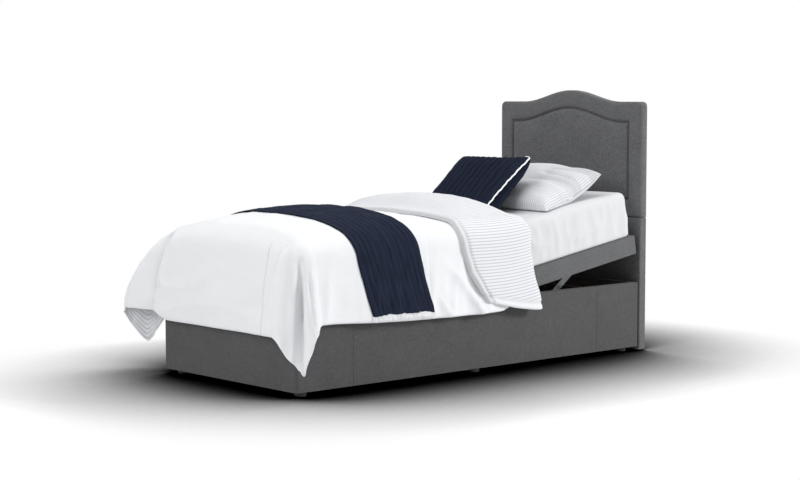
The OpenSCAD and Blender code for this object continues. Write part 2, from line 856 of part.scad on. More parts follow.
// Swing links: as long and as steep as the line from hip to knee, so the calf stays level
link_z = base_top - link_drop;
link_dy = knee_y - thigh_y;
link_dz = knee_z - hip_z;
link_l = sqrt(link_dy * link_dy + link_dz * link_dz);
link_a = atan2(link_dz, link_dy);
link_t = 6;
link_w = 24;
link_play = 0.3;
link_x = frame_in - 2 * link_t - link_t / 2;
link_pin_d = 10;
collar_d = 16;

module swing_links() {
    color("silver") both_sides() translate([link_x, link_y, link_z]) rotate([link_a, 0, 0])
        rotate([90, 0, 90]) linear_extrude(link_t) difference() {
            union() {
                translate([0, -link_w / 2]) square([link_l, link_w]);
                for (y = [0, link_l]) translate([y, 0]) circle(link_w / 2);
            }
            for (y = [0, link_l]) translate([y, 0]) circle(link_pin_d / 2 + pin_fit);
        }
}

module link_frame_pins() {
    color("gray") both_sides() translate([0, link_y, link_z]) {
        rod_x(link_x - link_play - washer_t, frame_in, link_pin_d);
        rod_x(link_x + link_t + link_play, frame_in, collar_d);
        rod_x(link_x - link_play - washer_t, link_x - link_play, collar_d);
    }
}

bracket_t = 6;
bracket_w = 50;
bracket_x = link_x - link_t - bracket_t;

module calf_brackets() {
    color("silver") both_sides() translate([bracket_x, link_y + link_dy, link_z + link_dz]) {
        drop = ply_bottom - link_z - link_dz;
        rotate([90, 0, 90]) linear_extrude(bracket_t) {
            circle(link_w / 2);
            polygon([[-link_w / 2, 0], [link_w / 2, 0], [bracket_w / 2, drop], [-bracket_w / 2, drop]]);
        }
        translate([-bracket_w, -bracket_w / 2, drop - bracket_t]) cube([bracket_w + bracket_t, bracket_w, bracket_t]);
    }
}

module link_calf_pins() {
    color("gray") both_sides() translate([0, link_y + link_dy, link_z + link_dz]) {
        rod_x(bracket_x + bracket_t, link_x + link_t + link_play + washer_t, link_pin_d);
        rod_x(bracket_x + bracket_t, link_x - link_play, collar_d);
        rod_x(link_x + link_t + link_play, link_x + link_t + link_play + washer_t, collar_d);
    }
}

// Mattress: one block on each deck section and a soft bend over the hip
block_gap = 0.5;

module mattress_block(y0, y1) {
    color("white") translate([0, (y0 + y1) / 2, mattress_bottom])
        padded_box(mattress_w, y1 - y0, mattress_h, mattress_corner_r, mattress_r);
}

module plain_block(y0, y1) {
    color("white") translate([0, y1, mattress_bottom]) rotate([90, 0, 0]) linear_extrude(y1 - y0)
        edge_profile(mattress_w, mattress_h, mattress_r);
}

module mattress_calf() {
    color("white") intersection() {
        mattress_block(mattress_foot_y, knee_y + mattress_h);
        plain_block(mattress_foot_y - over, knee_y - block_gap);
    }
}

module mattress_thigh() {
    plain_block(knee_y + block_gap, thigh_y - hip_bend_foot - block_gap);
}

module mattress_back() {
    color("white") raised() intersection() {
        mattress_block(back_y, mattress_head_y);
        plain_block(back_y + hip_bend_head + block_gap, mattress_head_y + over);
    }
}

// A point of the flat back section, turned to its raised place: [y, z]
function raised_point(y, z) = [
    back_y + (y - back_y) * cos(back_rise) - (z - hip_z) * sin(back_rise),
    hip_z + (y - back_y) * sin(back_rise) + (z - hip_z) * cos(back_rise)
];

bend_steps = 6;
module mattress_seat() {
    foot = thigh_y - hip_bend_foot;
    low = raised_point(back_y + hip_bend_head, mattress_bottom);
    high = raised_point(back_y + hip_bend_head, mattress_top);
    fold = raised_point(back_y, mattress_bottom);
    flat = back_y - hip_bend_head;
    rise = high[1] - mattress_top;
    top = [for (i = [0 : bend_steps]) let (t = i / bend_steps)
        [high[0] + (flat - high[0]) * t, mattress_top + rise * (1 - t) * (1 - t)]];
    color("white") rotate([90, 0, 90]) linear_extrude(mattress_w, center = true)
        polygon(concat([[foot, mattress_bottom], [fold[0], mattress_bottom], low], top, [[foot, mattress_top]]));
}

// Bedding. A place on the cloth is [a, b]: a is measured across the bed along the cloth, b
// along it, and both run on past the edges of the top, where the cloth rolls over and hangs.

function share_of(v, lo, hi) = max(0, min(1, (v - lo) / (hi - lo)));
function ease(t) = t * t * (3 - 2 * t);

// How far out and down a cloth has gone at rho beyond the start of the roll
flare_share = 0.09;
function roll_out(rho, r) = rho < r * PI / 2 ? r * sin(rho / r * 180 / PI)
    : r + flare_share * (rho - r * PI / 2);
function roll_drop(rho, r) = rho < r * PI / 2 ? r * (1 - cos(rho / r * 180 / PI)) : r + (rho - r * PI / 2);

// Folds of the hanging corners: [angle, reach sideways, reach footwards], as shares of fold_reach
near_fold_shares = [
    [0, 0, 0], [12, 0.30, -0.02], [25, 0.72, 0.10], [36, 0.98, 0.14], [45, 0.50, 0.02], [54, 0.48, 0.26],
    [66, 0.12, 0.22], [78, -0.38, 0.18], [84, -0.45, 0.13], [90, 0, 0]
];
far_fold_shares = [
    [0, 0, 0], [12, 0.34, 0.03], [25, 0.80, 0.12], [38, 0.98, 0.24], [50, 0.62, 0.16], [60, 0.44, 0.05],
    [68, 0.40, 0.10], [76, 0.34, 0.10], [84, 0.18, 0.05], [90, 0, 0]
];
fold_start_share = 0.2;
fold_full_share = 0.95;
tip_share = 0.55;

// How much of the fold's reach the cloth has at rho
function fold_amount(rho) =
    ease(share_of(rho, fold_start_share * foot_drape_l, fold_full_share * foot_drape_l))
    * (1 - (1 - tip_share) * share_of(rho, foot_drape_l, foot_drape_l * sqrt(2)));

function fold_at(angle, shares) = [lookup(angle, [for (s = shares) [s[0], s[1]]]),
    lookup(angle, [for (s = shares) [s[0], s[2]]])];

// Height of the duvet's top above the mattress, at x and y: a crown that falls off to every side
loft_mid_share = 0.556;
foot_loft_share = 0.52;
head_loft_share = 0.43;
cross_share = 0.55;
loft_mid_y = duvet_roll_y * loft_mid_share;
function bell(t) = 0.5 + 0.5 * cos(180 * min(1, t));
function loft(x, y) =
    let (
        v = abs(x) / duvet_top_half,
        foot = foot_loft_share + (1 - foot_loft_share) * bell((loft_mid_y - y) / (loft_mid_y - duvet_roll_y)),
        head = head_loft_share + (1 - head_loft_share) * bell((y - loft_mid_y) / -loft_mid_y)
    )
    duvet_loft * (y < loft_mid_y ? foot : head) * (1 - cross_share * v * v * v);

// Height of the mattress's top at y, on the flat part and over the soft bend of the hip
bend_end = raised_point(back_y + hip_bend_head, mattress_top);
bend_start_y = back_y - hip_bend_head;
function bed_z(y) = mattress_top
    + (bend_end[1] - mattress_top) * pow(share_of(y, bend_start_y, bend_end[0]), 2)
    + tan(back_rise) * max(0, y - bend_end[0]);

// How far the hanging sides swing towards the head, near the turned-down part
shear_share = 0.22;
shear_start_y = (knee_y + thigh_y) / 2;
function shear(b, s) = shear_share * max(0, s - roll_r * PI / 2) * ease(share_of(b, shear_start_y, turn_foot_y));

// A place on the outer side of a cloth that lies on the duvet: grow lifts it off the duvet
fold_slant_share = 0.8;
corner_lift_share = 0.3;
function cloth_point(a, b, grow) =
    let (
        side = a < 0 ? -1 : 1,
        s = max(0, abs(a) - duvet_top_half),
        f = max(0, duvet_roll_y - b),
        x0 = min(abs(a), duvet_top_half),
        y0 = max(b, duvet_roll_y),
        rho = sqrt(s * s + f * f),
        angle = rho > 0 ? atan2(f, s) : 0,
        r = roll_r + grow,
        fold = s > 0 && f > 0 ? fold_reach * fold_amount(rho) * fold_at(angle, side > 0 ? near_fold_shares : far_fold_shares) : [0, 0],
        reach = norm(fold),
        hang = roll_drop(rho, r) - corner_lift_share * max(0, rho - foot_drape_l),
        drop = hang > reach ? sqrt(hang * hang - reach * reach * fold_slant_share) : hang
    )
    [side * (x0 + roll_out(rho, r) * cos(angle) + fold[0]),
        y0 - roll_out(rho, r) * sin(angle) - fold[1] + shear(b, s),
        bed_z(y0) + loft(x0, y0) + grow - drop];

// The inner side of the duvet: on the mattress, then down beside mattress and base
side_in = base_w / 2 + drape_gap;
foot_in = base_l / 2 + drape_gap;
inner_share = 0.25;
function inner_point(a, b) =
    let (
        p = cloth_point(a, b, 0),
        side = a < 0 ? -1 : 1,
        s = max(0, abs(a) - duvet_top_half),
        f = max(0, duvet_roll_y - b),
        bed = bed_z(p[1]) + rest_gap,
        corner = s > 0 && f > 0,
        over_side = ease(share_of(s, 0, roll_r * 0.8)),
        over_foot = ease(share_of(f, 0, roll_r * 0.8)),
        x = abs(p[0]),
        x1 = min(x, duvet_top_half + (side_in - duvet_top_half) * over_side),
        y1 = max(p[1], duvet_roll_y + (-foot_in - duvet_roll_y) * over_foot),
        x2 = corner ? max(side_in, x1) + inner_share * max(0, x - side_in) : x1,
        y2 = corner ? min(-foot_in, y1) - inner_share * max(0, -p[1] - foot_in) : y1,
        flat = s <= roll_r * 0.8 && f <= roll_r * 0.8
    )
    [side * (s > 0 && !corner ? (s >= roll_r * 0.8 ? side_in : x1) : x2),
        f > 0 && !corner ? (f >= roll_r * 0.8 ? -foot_in : y1) : y2,
        flat ? bed : min(bed, p[2])];

// A closed skin between an outer and an inner grid of points, both [across][along]
module skin_between(outer_grid, inner_grid) {
    n = len(outer_grid);
    m = len(outer_grid[0]);
    low = n * m;
    top = [for (i = [0 : n - 2], j = [0 : m - 2]) let (p = i * m + j)
        each [[p, p + 1, p + m + 1], [p, p + m + 1, p + m]]];
    bottom = [for (t = top) [low + t[0], low + t[2], low + t[1]]];
    rim = concat(
        [for (i = [0 : n - 2]) i * m], [for (j = [0 : m - 2]) (n - 1) * m + j],
        [for (i = [n - 1 : -1 : 1]) i * m + m - 1], [for (j = [m - 1 : -1 : 1]) j]
    );
    k = len(rim);
    edge = [for (i = [0 : k - 1]) let (p = rim[i], q = rim[(i + 1) % k])
        each [[p, q, low + q], [p, low + q, low + p]]];
    polyhedron(points = concat([for (row = outer_grid) each row], [for (row = inner_grid) each row]),
        faces = concat(top, bottom, edge));
}

function steps(lo, hi, n) = [for (i = [0 : n]) lo + (hi - lo) * i / n];
drape_steps = 9;
hang_shares = [for (i = [1 : drape_steps]) pow(i / drape_steps, 0.85)];
across = concat([for (i = [drape_steps - 1 : -1 : 0]) -duvet_top_half - hang_shares[i] * side_drape_l],
    steps(-duvet_top_half, duvet_top_half, 6), [for (h = hang_shares) duvet_top_half + h * side_drape_l]);

module duvet_foot() {
    along = concat([for (i = [drape_steps - 1 : -1 : 0]) duvet_roll_y - hang_shares[i] * foot_drape_l],
        steps(duvet_roll_y, knee_y - block_gap, 10));
    color("white") skin_between(
        [for (a = across) [for (b = along) cloth_point(a, b, 0)]],
        [for (a = across) [for (b = along) inner_point(a, b)]]);
}

module duvet_middle() {
    along = steps(knee_y + block_gap, turn_foot_y - block_gap, 5);
    color("white") skin_between(
        [for (a = across) [for (b = along) cloth_point(a, b, 0)]],
        [for (a = across) [for (b = along) inner_point(a, b)]]);
}

// The turned-down part: a second layer with a lip towards the foot and a thick fold at the head.
// Rows are [place along it, share of the layer, share of the crest, share of the whole thickness].
turn_rows = [
    [0, 0, 0, 1], [0.01, 0.6, 0, 1], [0.04, 0.95, 0, 1], [0.12, 1, 0, 1], [0.2, 1, 0.1, 1], [0.3, 1, 0.4, 1],
    [0.42, 1, 0.8, 1], [0.54, 1, 1, 1], [0.7, 1, 1, 1], [0.86, 1, 0.9, 1], [0.94, 1, 0.75, 0.88],
    [0.985, 1, 0.6, 0.6], [1, 1, 0.5, 0.3]
];
module duvet_turn_down() {
    length = turn_head_y - turn_foot_y;
    rows = [for (row = turn_rows) [row[0], row[1], row[3]]];
    function crest(a, share) = share * (turn_crest - turn_t) * (1 - pow(min(1, abs(a) / duvet_top_half), 2.5));
    low = [for (a = across) [for (row = rows) inner_point(a, turn_foot_y + row[0] * length)]];
    high = [for (a = across) [for (row = turn_rows)
        cloth_point(a, turn_foot_y + row[0] * length, row[1] * turn_t) + [0, 0, crest(a, row[2])]]];
    color("white") skin_between(
        [for (i = [0 : len(across) - 1]) [for (j = [0 : len(rows) - 1])
            low[i][j] + (high[i][j] - low[i][j]) * rows[j][2]]],
        low);
}

// The runner across the bed: ribs along its length, laid over the duvet. Its ends swing
// towards the head as they hang.
rib_count = 12;
runner_swing_share = 0.2;
runner_lift = 0.95;
module runner() {
    hang = concat([for (h = hang_shares) if (h * side_drape_l < runner_drape_l - roll_r / 4) h * side_drape_l],
        [runner_drape_l]);
    n = len(hang);
    crosswise = concat([for (i = [n - 1 : -1 : 0]) -duvet_top_half - hang[i]],
        steps(-duvet_top_half, duvet_top_half, 6), [for (h = hang) duvet_top_half + h]);
    function swing(a) = runner_swing_share * max(0, abs(a) - duvet_top_half);
    rows = [for (i = [0 : 2 * rib_count]) [runner_y + runner_w * (i / (2 * rib_count) - 0.5), rib_h * (i % 2)]];
    color("midnightblue") skin_between(
        [for (a = crosswise) [for (row = rows)
            cloth_point(a, row[0] + swing(a), runner_lift + runner_t - rib_h + row[1])]],
        [for (a = crosswise) [for (row = rows) cloth_point(a, row[0] + swing(a), runner_lift)]]);
}

// Pillow and cushion: a seam outline with drawn-in sides between two crowned faces

// Thickness share of a stuffed form at [u, v], each from -1 to 1
function plump(u, v) = pow((1 - pow(abs(u), 4)) * (1 - pow(abs(v), 4)), 0.45);
drawn_in_share = 0.05;
function seam_place(u, v, w, h) = [
    w / 2 * u * (1 - drawn_in_share * (1 - v * v)),
    h / 2 * v * (1 - drawn_in_share * (1 - u * u))
];

// Even steps from -1 to 1, drawn together towards both ends
function soft_steps(n) = [for (i = [0 : n]) sin(90 * (2 * i / n - 1))];

pillow_x_steps = 18;
pillow_y_steps = 12;
pillow_gap_share = 1.07;
pillow_low = 0.1333 * pillow_h;
pillow_high = 0.5333 * pillow_h;
pillow_top_share = 0.62;
seam_half = 2.5;
module pillow() {
    function seam_z(v) = pillow_low + (pillow_high - pillow_low) * (v + 1) / 2;
    us = soft_steps(pillow_x_steps);
    vs = soft_steps(pillow_y_steps);
    mid_y = mattress_head_y - pillow_gap_share * pillow_w / 2;
    color("white") raised() translate([0, mid_y, mattress_top]) skin_between(
        [for (u = us) [for (v = vs) let (p = seam_place(u, v, pillow_l, pillow_w))
            [p[0], p[1], seam_z(v) + seam_half + pillow_top_share * pillow_h * plump(u, v)]]],
        [for (u = us) [for (v = vs) let (p = seam_place(u, v, pillow_l, pillow_w))
            [p[0], p[1], max(block_gap,
                seam_z(v) - seam_half - (1 - pillow_top_share) * pillow_h * plump(u, v))]]]);
}

cushion_ribs = 12;
cushion_rib_h = 3;
cushion_x = 20;
cushion_y_steps = 14;
cushion_foot_y = back_y + 0.0962 * back_bed_l;
cushion_seat_share = 0.128;
module cushion() {
    n = 2 * cushion_ribs;
    us = [for (i = [0 : n]) let (t = 2 * i / n - 1) t];
    vs = soft_steps(cushion_y_steps);
    // The form leans back with its swell on the mattress and its lower seam just above it
    rest_z = bed_z(cushion_foot_y) + cushion_seat_share * cushion_t;
    color("midnightblue") translate([cushion_x, cushion_foot_y, rest_z]) rotate([90 - cushion_lean, 0, 0])
        translate([0, cushion_h / 2, 0]) skin_between(
            [for (i = [0 : n]) [for (v = vs) let (p = seam_place(us[i], v, cushion_w, cushion_h))
                [p[0], p[1], seam_half + (cushion_t / 2 - seam_half) * plump(us[i], v)
                    - (i % 2 == 0 ? 0 : cushion_rib_h * plump(us[i], v))]]],
            [for (i = [0 : n]) [for (v = vs) let (p = seam_place(us[i], v, cushion_w, cushion_h))
                [p[0], p[1], -seam_half - (cushion_t / 2 - seam_half) * plump(us[i], v)
                    + (i % 2 == 0 ? 0 : cushion_rib_h * plump(us[i], v))]]]);
}

headboard_upper();
headboard_lower();
headboard_plates();
headboard_bolts();
base_cover_foot();
base_cover_head();
base_cover_left();
base_cover_right();
base_side_rails();
base_end_rails();
base_corner_blocks();
base_bearers();
floor_glides();
frame_side_tubes();
frame_cross_tubes();
frame_bolts();
bearing_plates();
seat_posts();
drive_unit();
drive_motors();
control_box();
link_frame_pins();
seat_cover();
seat_deck();
hip_hinge_leaves();
hip_hinge_pins();
mattress_seat();
back_cover();
back_deck();
back_tracks();
back_hinge_leaves();
mattress_back();
back_torque_tube();
back_lift_arms();
back_rollers();
thigh_cover();
thigh_deck();
thigh_tracks();
thigh_hinge_leaves();
knee_hinge_leaves();
knee_hinge_pins();
mattress_thigh();
leg_torque_tube();
leg_lift_arms();
leg_rollers();
calf_cover();
calf_deck();
calf_hinge_leaves();
calf_brackets();
link_calf_pins();
mattress_calf();
swing_links();
duvet_foot();
duvet_middle();
duvet_turn_down();
runner();
pillow();
cushion();
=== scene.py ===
"""Adjustable single bed, made up with duvet, runner, pillow and cushion.

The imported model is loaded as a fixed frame. Each soft piece is built here over the solid that
stands for it, and each rigid piece gets its finish.
"""

from __future__ import annotations

import json
import logging
import math
from dataclasses import dataclass
from enum import Enum
from typing import Iterable, Sequence

import bmesh
import bpy
import numpy as np
from mathutils import Euler, Matrix, Vector


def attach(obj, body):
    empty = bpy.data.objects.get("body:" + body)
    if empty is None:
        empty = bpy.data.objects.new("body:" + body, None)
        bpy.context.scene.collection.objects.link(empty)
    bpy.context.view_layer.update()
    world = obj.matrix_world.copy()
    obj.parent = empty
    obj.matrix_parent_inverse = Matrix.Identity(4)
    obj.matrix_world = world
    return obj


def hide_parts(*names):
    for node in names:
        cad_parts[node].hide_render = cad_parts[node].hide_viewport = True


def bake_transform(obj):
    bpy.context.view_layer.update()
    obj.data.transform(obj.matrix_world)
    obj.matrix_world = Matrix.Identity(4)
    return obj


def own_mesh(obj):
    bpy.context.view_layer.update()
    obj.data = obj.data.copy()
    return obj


logging.basicConfig(level=logging.INFO, format="%(message)s")
log = logging.getLogger("bed")

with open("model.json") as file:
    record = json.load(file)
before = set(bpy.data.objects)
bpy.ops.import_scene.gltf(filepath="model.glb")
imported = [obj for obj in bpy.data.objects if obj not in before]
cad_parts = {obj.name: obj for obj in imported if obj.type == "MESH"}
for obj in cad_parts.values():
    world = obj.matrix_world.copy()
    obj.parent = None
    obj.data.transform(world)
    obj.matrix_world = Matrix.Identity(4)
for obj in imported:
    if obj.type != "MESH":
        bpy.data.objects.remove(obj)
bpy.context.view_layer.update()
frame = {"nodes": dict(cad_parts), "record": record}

Array = np.ndarray
Colour = tuple[float, float, float]
Point = tuple[float, float, float]
TINY = 1e-9


# Shared shapes and numbers


def ease(t: Array | float) -> Array | float:
    """Smooth step of t, held at 0 and 1 outside the unit range."""
    t = np.clip(t, 0.0, 1.0)
    return t * t * (3.0 - 2.0 * t)


def smooth_curve(x: Array, knots: Sequence[tuple[float, float]]) -> Array:
    """Runs a rounded curve through knots.

    Args:
        x: Places along the curve.
        knots: Place and value of each knot, places rising.

    Returns:
        The curve's value at each place.
    """
    kx = np.array([k[0] for k in knots], float)
    ky = np.array([k[1] for k in knots], float)
    slope = np.gradient(ky, kx)
    x = np.clip(x, kx[0], kx[-1])
    i = np.clip(np.searchsorted(kx, x) - 1, 0, len(kx) - 2)
    h = kx[i + 1] - kx[i]
    t = (x - kx[i]) / h
    return (
        (2 * t**3 - 3 * t**2 + 1) * ky[i]
        + (t**3 - 2 * t**2 + t) * h * slope[i]
        + (-2 * t**3 + 3 * t**2) * ky[i + 1]
        + (t**3 - t**2) * h * slope[i + 1]
    )


def cloth_noise(u: Array, v: Array, seed: int) -> Array:
    """Soft random hills, about one hill to a unit, from -1 to 1.

    Args:
        u: First coordinate, in hills.
        v: Second coordinate, in hills.
        seed: Picks the pattern.

    Returns:
        The height at each place.
    """
    table = np.random.default_rng(seed).uniform(-1.0, 1.0, (64, 64))
    i, j = np.floor(u).astype(int), np.floor(v).astype(int)
    fu, fv = ease(u - i), ease(v - j)
    a, b = table[i % 64, j % 64], table[(i + 1) % 64, j % 64]
    c, d = table[i % 64, (j + 1) % 64], table[(i + 1) % 64, (j + 1) % 64]
    return (a * (1 - fu) + b * fu) * (1 - fv) + (c * (1 - fu) + d * fu) * fv


def cloth_ridge(u: Array, v: Array, seed: int) -> Array:
    """Narrow crests between soft hollows, about zero on average."""
    return (1 - np.abs(cloth_noise(u, v, seed))) ** 3 - 0.3


def grid_normals(points: Array) -> Array:
    """Unit normals of a grid of points whose rows run across and columns along the bed."""
    across = np.gradient(points, axis=0)
    along = np.gradient(points, axis=1)
    normal = np.cross(across, along)
    return normal / np.maximum(np.linalg.norm(normal, axis=2, keepdims=True), TINY)


def add_object(name: str, data: bpy.types.ID) -> bpy.types.Object:
    """Makes an object of some data and links it to the scene."""
    obj = bpy.data.objects.new(name, data)
    bpy.context.scene.collection.objects.link(obj)
    return obj


def read_rows(items: Sequence, key: str = "co") -> Array:
    """Reads a vector from each vertex or attribute item, as one row each."""
    rows = np.empty(len(items) * 3)
    items.foreach_get(key, rows)
    return rows.reshape(-1, 3)


def write_points(obj: bpy.types.Object, points: Array) -> None:
    """Moves an object's vertices to new points."""
    obj.data.vertices.foreach_set("co", points.ravel())
    obj.data.update()


def corner_vertices(mesh: bpy.types.Mesh) -> Array:
    """Vertex number of each face corner."""
    numbers = np.empty(len(mesh.loops), np.int32)
    mesh.loops.foreach_get("vertex_index", numbers)
    return numbers


def new_mesh_object(
    name: str,
    points: Array,
    faces: Iterable[Sequence[int]] = (),
    uv: Array | None = None,
    masks: dict[str, Array] | None = None,
    edges: Sequence[tuple[int, int]] = (),
    closed: bool = True,
) -> bpy.types.Object:
    """Makes a smooth mesh object in the scene.

    Args:
        name: The piece's name.
        points: One row of x, y and z for each vertex.
        faces: Vertex numbers of each face.
        uv: One row of u and v for each vertex.
        masks: Values for each vertex, by attribute name.
        edges: Vertex numbers of edges without a face.
        closed: Whether the faces close a body, and are turned outwards.

    Returns:
        The new object, at the origin.
    """
    mesh = bpy.data.meshes.new(name)
    mesh.from_pydata(np.asarray(points, float).tolist(), edges, [list(f) for f in faces])
    mesh.update()
    if uv is not None:
        layer = mesh.uv_layers.new(name="UVMap")
        layer.data.foreach_set("uv", np.asarray(uv, np.float32)[corner_vertices(mesh)].ravel())
    for key, values in (masks or {}).items():
        attribute = mesh.attributes.new(key, "FLOAT", "POINT")
        attribute.data.foreach_set("value", np.asarray(values, np.float32).ravel())
    mesh.polygons.foreach_set("use_smooth", [True] * len(mesh.polygons))
    if closed:
        bm = bmesh.new()
        bm.from_mesh(mesh)
        bmesh.ops.recalc_face_normals(bm, faces=bm.faces)
        if bm.calc_volume(signed=True) < 0:
            bmesh.ops.reverse_faces(bm, faces=bm.faces)
        bm.to_mesh(mesh)
        bm.free()
        mesh.update()
    return add_object(name, mesh)


def tube_faces(rows: int, n: int, flip: bool = False, wrap: bool = False) -> list[list[int]]:
    """Faces of a tube whose points stand in rows.

    Args:
        rows: Number of rows.
        n: Points of each row, which closes round.
        flip: Whether the faces turn the other way.
        wrap: Whether the last row joins the first, instead of a cap on both.

    Returns:
        Vertex numbers of each face.
    """
    faces = []
    for k in range(rows if wrap else rows - 1):
        here, there = k * n, (k + 1) % rows * n
        for i in range(n):
            j = (i + 1) % n
            faces.append([here + i, here + j, there + j, there + i])
    if flip:
        faces = [[face[0], *face[:0:-1]] for face in faces]
    if not wrap:
        first, last = list(range(n)), list(range((rows - 1) * n, rows * n))
        faces += [first, last[::-1]] if flip else [first[::-1], last]
    return faces


def rim_of(n: int, m: int) -> list[int]:
    """Vertex numbers round the edge of an n by m grid."""
    return (
        [i * m for i in range(n - 1)]
        + [(n - 1) * m + j for j in range(m - 1)]
        + [i * m + m - 1 for i in range(n - 1, 0, -1)]
        + list(range(m - 1, 0, -1))
    )


def padded_skin(
    name: str,
    outer: Array,
    inner: Array,
    uv: Array,
    masks: dict[str, tuple[Array, Array]] | None = None,
    rounds: int = 3,
) -> bpy.types.Object:
    """Closes two grids of points to one padded piece with a rounded edge.

    Args:
        name: The piece's name.
        outer: Points of the outer side, across by along.
        inner: Points of the inner side, across by along.
        uv: Cloth coordinates of each grid place, in metres.
        masks: Values on the outer and on the inner side, by attribute name.
        rounds: Rows of points that round the edge between the sides.

    Returns:
        The closed piece, its faces outwards.
    """
    n, m = outer.shape[:2]
    rim = rim_of(n, m)
    o, i = outer.reshape(-1, 3), inner.reshape(-1, 3)
    middle = (o[rim] + i[rim]) / 2
    half = (o[rim] - i[rim]) / 2
    inside = np.clip(np.array([divmod(k, m) for k in rim]), 1, [n - 2, m - 2])
    back = (outer[inside[:, 0], inside[:, 1]] + inner[inside[:, 0], inside[:, 1]]) / 2
    out = middle - back
    length = np.linalg.norm(half, axis=1, keepdims=True)
    axis = half / np.maximum(length, TINY)
    out -= axis * np.sum(out * axis, axis=1, keepdims=True)
    out /= np.maximum(np.linalg.norm(out, axis=1, keepdims=True), TINY)
    rings = []
    for k in range(1, rounds + 1):
        angle = math.pi * k / (rounds + 1)
        rings.append(middle + half * math.cos(angle) + out * length * 0.85 * math.sin(angle))
    points = np.concatenate([o, i] + rings)
    grid = np.arange(n * m).reshape(n, m)
    quads = np.stack(
        [grid[:-1, :-1], grid[:-1, 1:], grid[1:, 1:], grid[1:, :-1]], axis=-1
    ).reshape(-1, 4)
    faces = quads.tolist() + (quads[:, ::-1] + n * m).tolist()
    rows = [rim] + [[2 * n * m + k * len(rim) + q for q in range(len(rim))] for k in range(rounds)]
    rows.append([r + n * m for r in rim])
    for upper, lower in zip(rows[:-1], rows[1:]):
        for q in range(len(rim)):
            p = (q + 1) % len(rim)
            faces.append([upper[q], upper[p], lower[p], lower[q]])
    flat_uv = uv.reshape(-1, 2)
    all_uv = np.concatenate([flat_uv, flat_uv] + [flat_uv[rim]] * rounds)
    values = {
        key: np.concatenate([a.ravel(), b.ravel()] + [a.ravel()[rim]] * rounds)
        for key, (a, b) in (masks or {}).items()
    }
    return new_mesh_object(name, points, faces, all_uv, values)


def cut_at_y(obj: bpy.types.Object, y: float, names: tuple[str, str]) -> list[bpy.types.Object]:
    """Cuts a closed piece at a plane across the bed, and keeps its shading over the cut.

    Args:
        obj: The piece, at the origin.
        y: Place of the cut.
        names: Names of the part towards the foot and of the part towards the head.

    Returns:
        The two closed parts.
    """
    source = obj.data
    normals = read_rows(source.vertex_normals, "vector")
    shading = source.attributes.new("shade_normal", "FLOAT_VECTOR", "POINT")
    shading.data.foreach_set("vector", normals.ravel())
    parts = []
    for name, sign in zip(names, (1, -1)):
        bm = bmesh.new()
        bm.from_mesh(source)
        geometry = bm.verts[:] + bm.edges[:] + bm.faces[:]
        cut = bmesh.ops.bisect_plane(
            bm, geom=geometry, plane_co=(0, y, 0), plane_no=(0, sign, 0), clear_outer=True
        )
        edges = [e for e in cut["geom_cut"] if isinstance(e, bmesh.types.BMEdge)]
        filled = bmesh.ops.triangle_fill(bm, edges=edges, use_beauty=True, normal=(0, sign, 0))
        bm.faces.index_update()
        caps = [f.index for f in filled["geom"] if isinstance(f, bmesh.types.BMFace)]
        mesh = bpy.data.meshes.new(name)
        bm.to_mesh(mesh)
        bm.free()
        kept = mesh.attributes["shade_normal"]
        corner_normals = read_rows(kept.data, "vector")[corner_vertices(mesh)]
        for index in caps:
            corner_normals[list(mesh.polygons[index].loop_indices)] = (0, sign, 0)
        mesh.attributes.remove(kept)
        mesh.polygons.foreach_set("use_smooth", [True] * len(mesh.polygons))
        mesh.normals_split_custom_set(corner_normals.tolist())
        parts.append(add_object(name, mesh))
    bpy.data.objects.remove(obj)
    return parts


# Finishes: shader node groups for what several materials share, and one class for each finish

VECTOR, COLOUR, FLOAT = "NodeSocketVector", "NodeSocketColor", "NodeSocketFloat"
GEOMETRY, MATERIAL = "NodeSocketGeometry", "NodeSocketMaterial"


def toned(colour: Colour, share: float) -> Colour:
    """A colour made darker to a share of its light."""
    return tuple(c * share for c in colour)


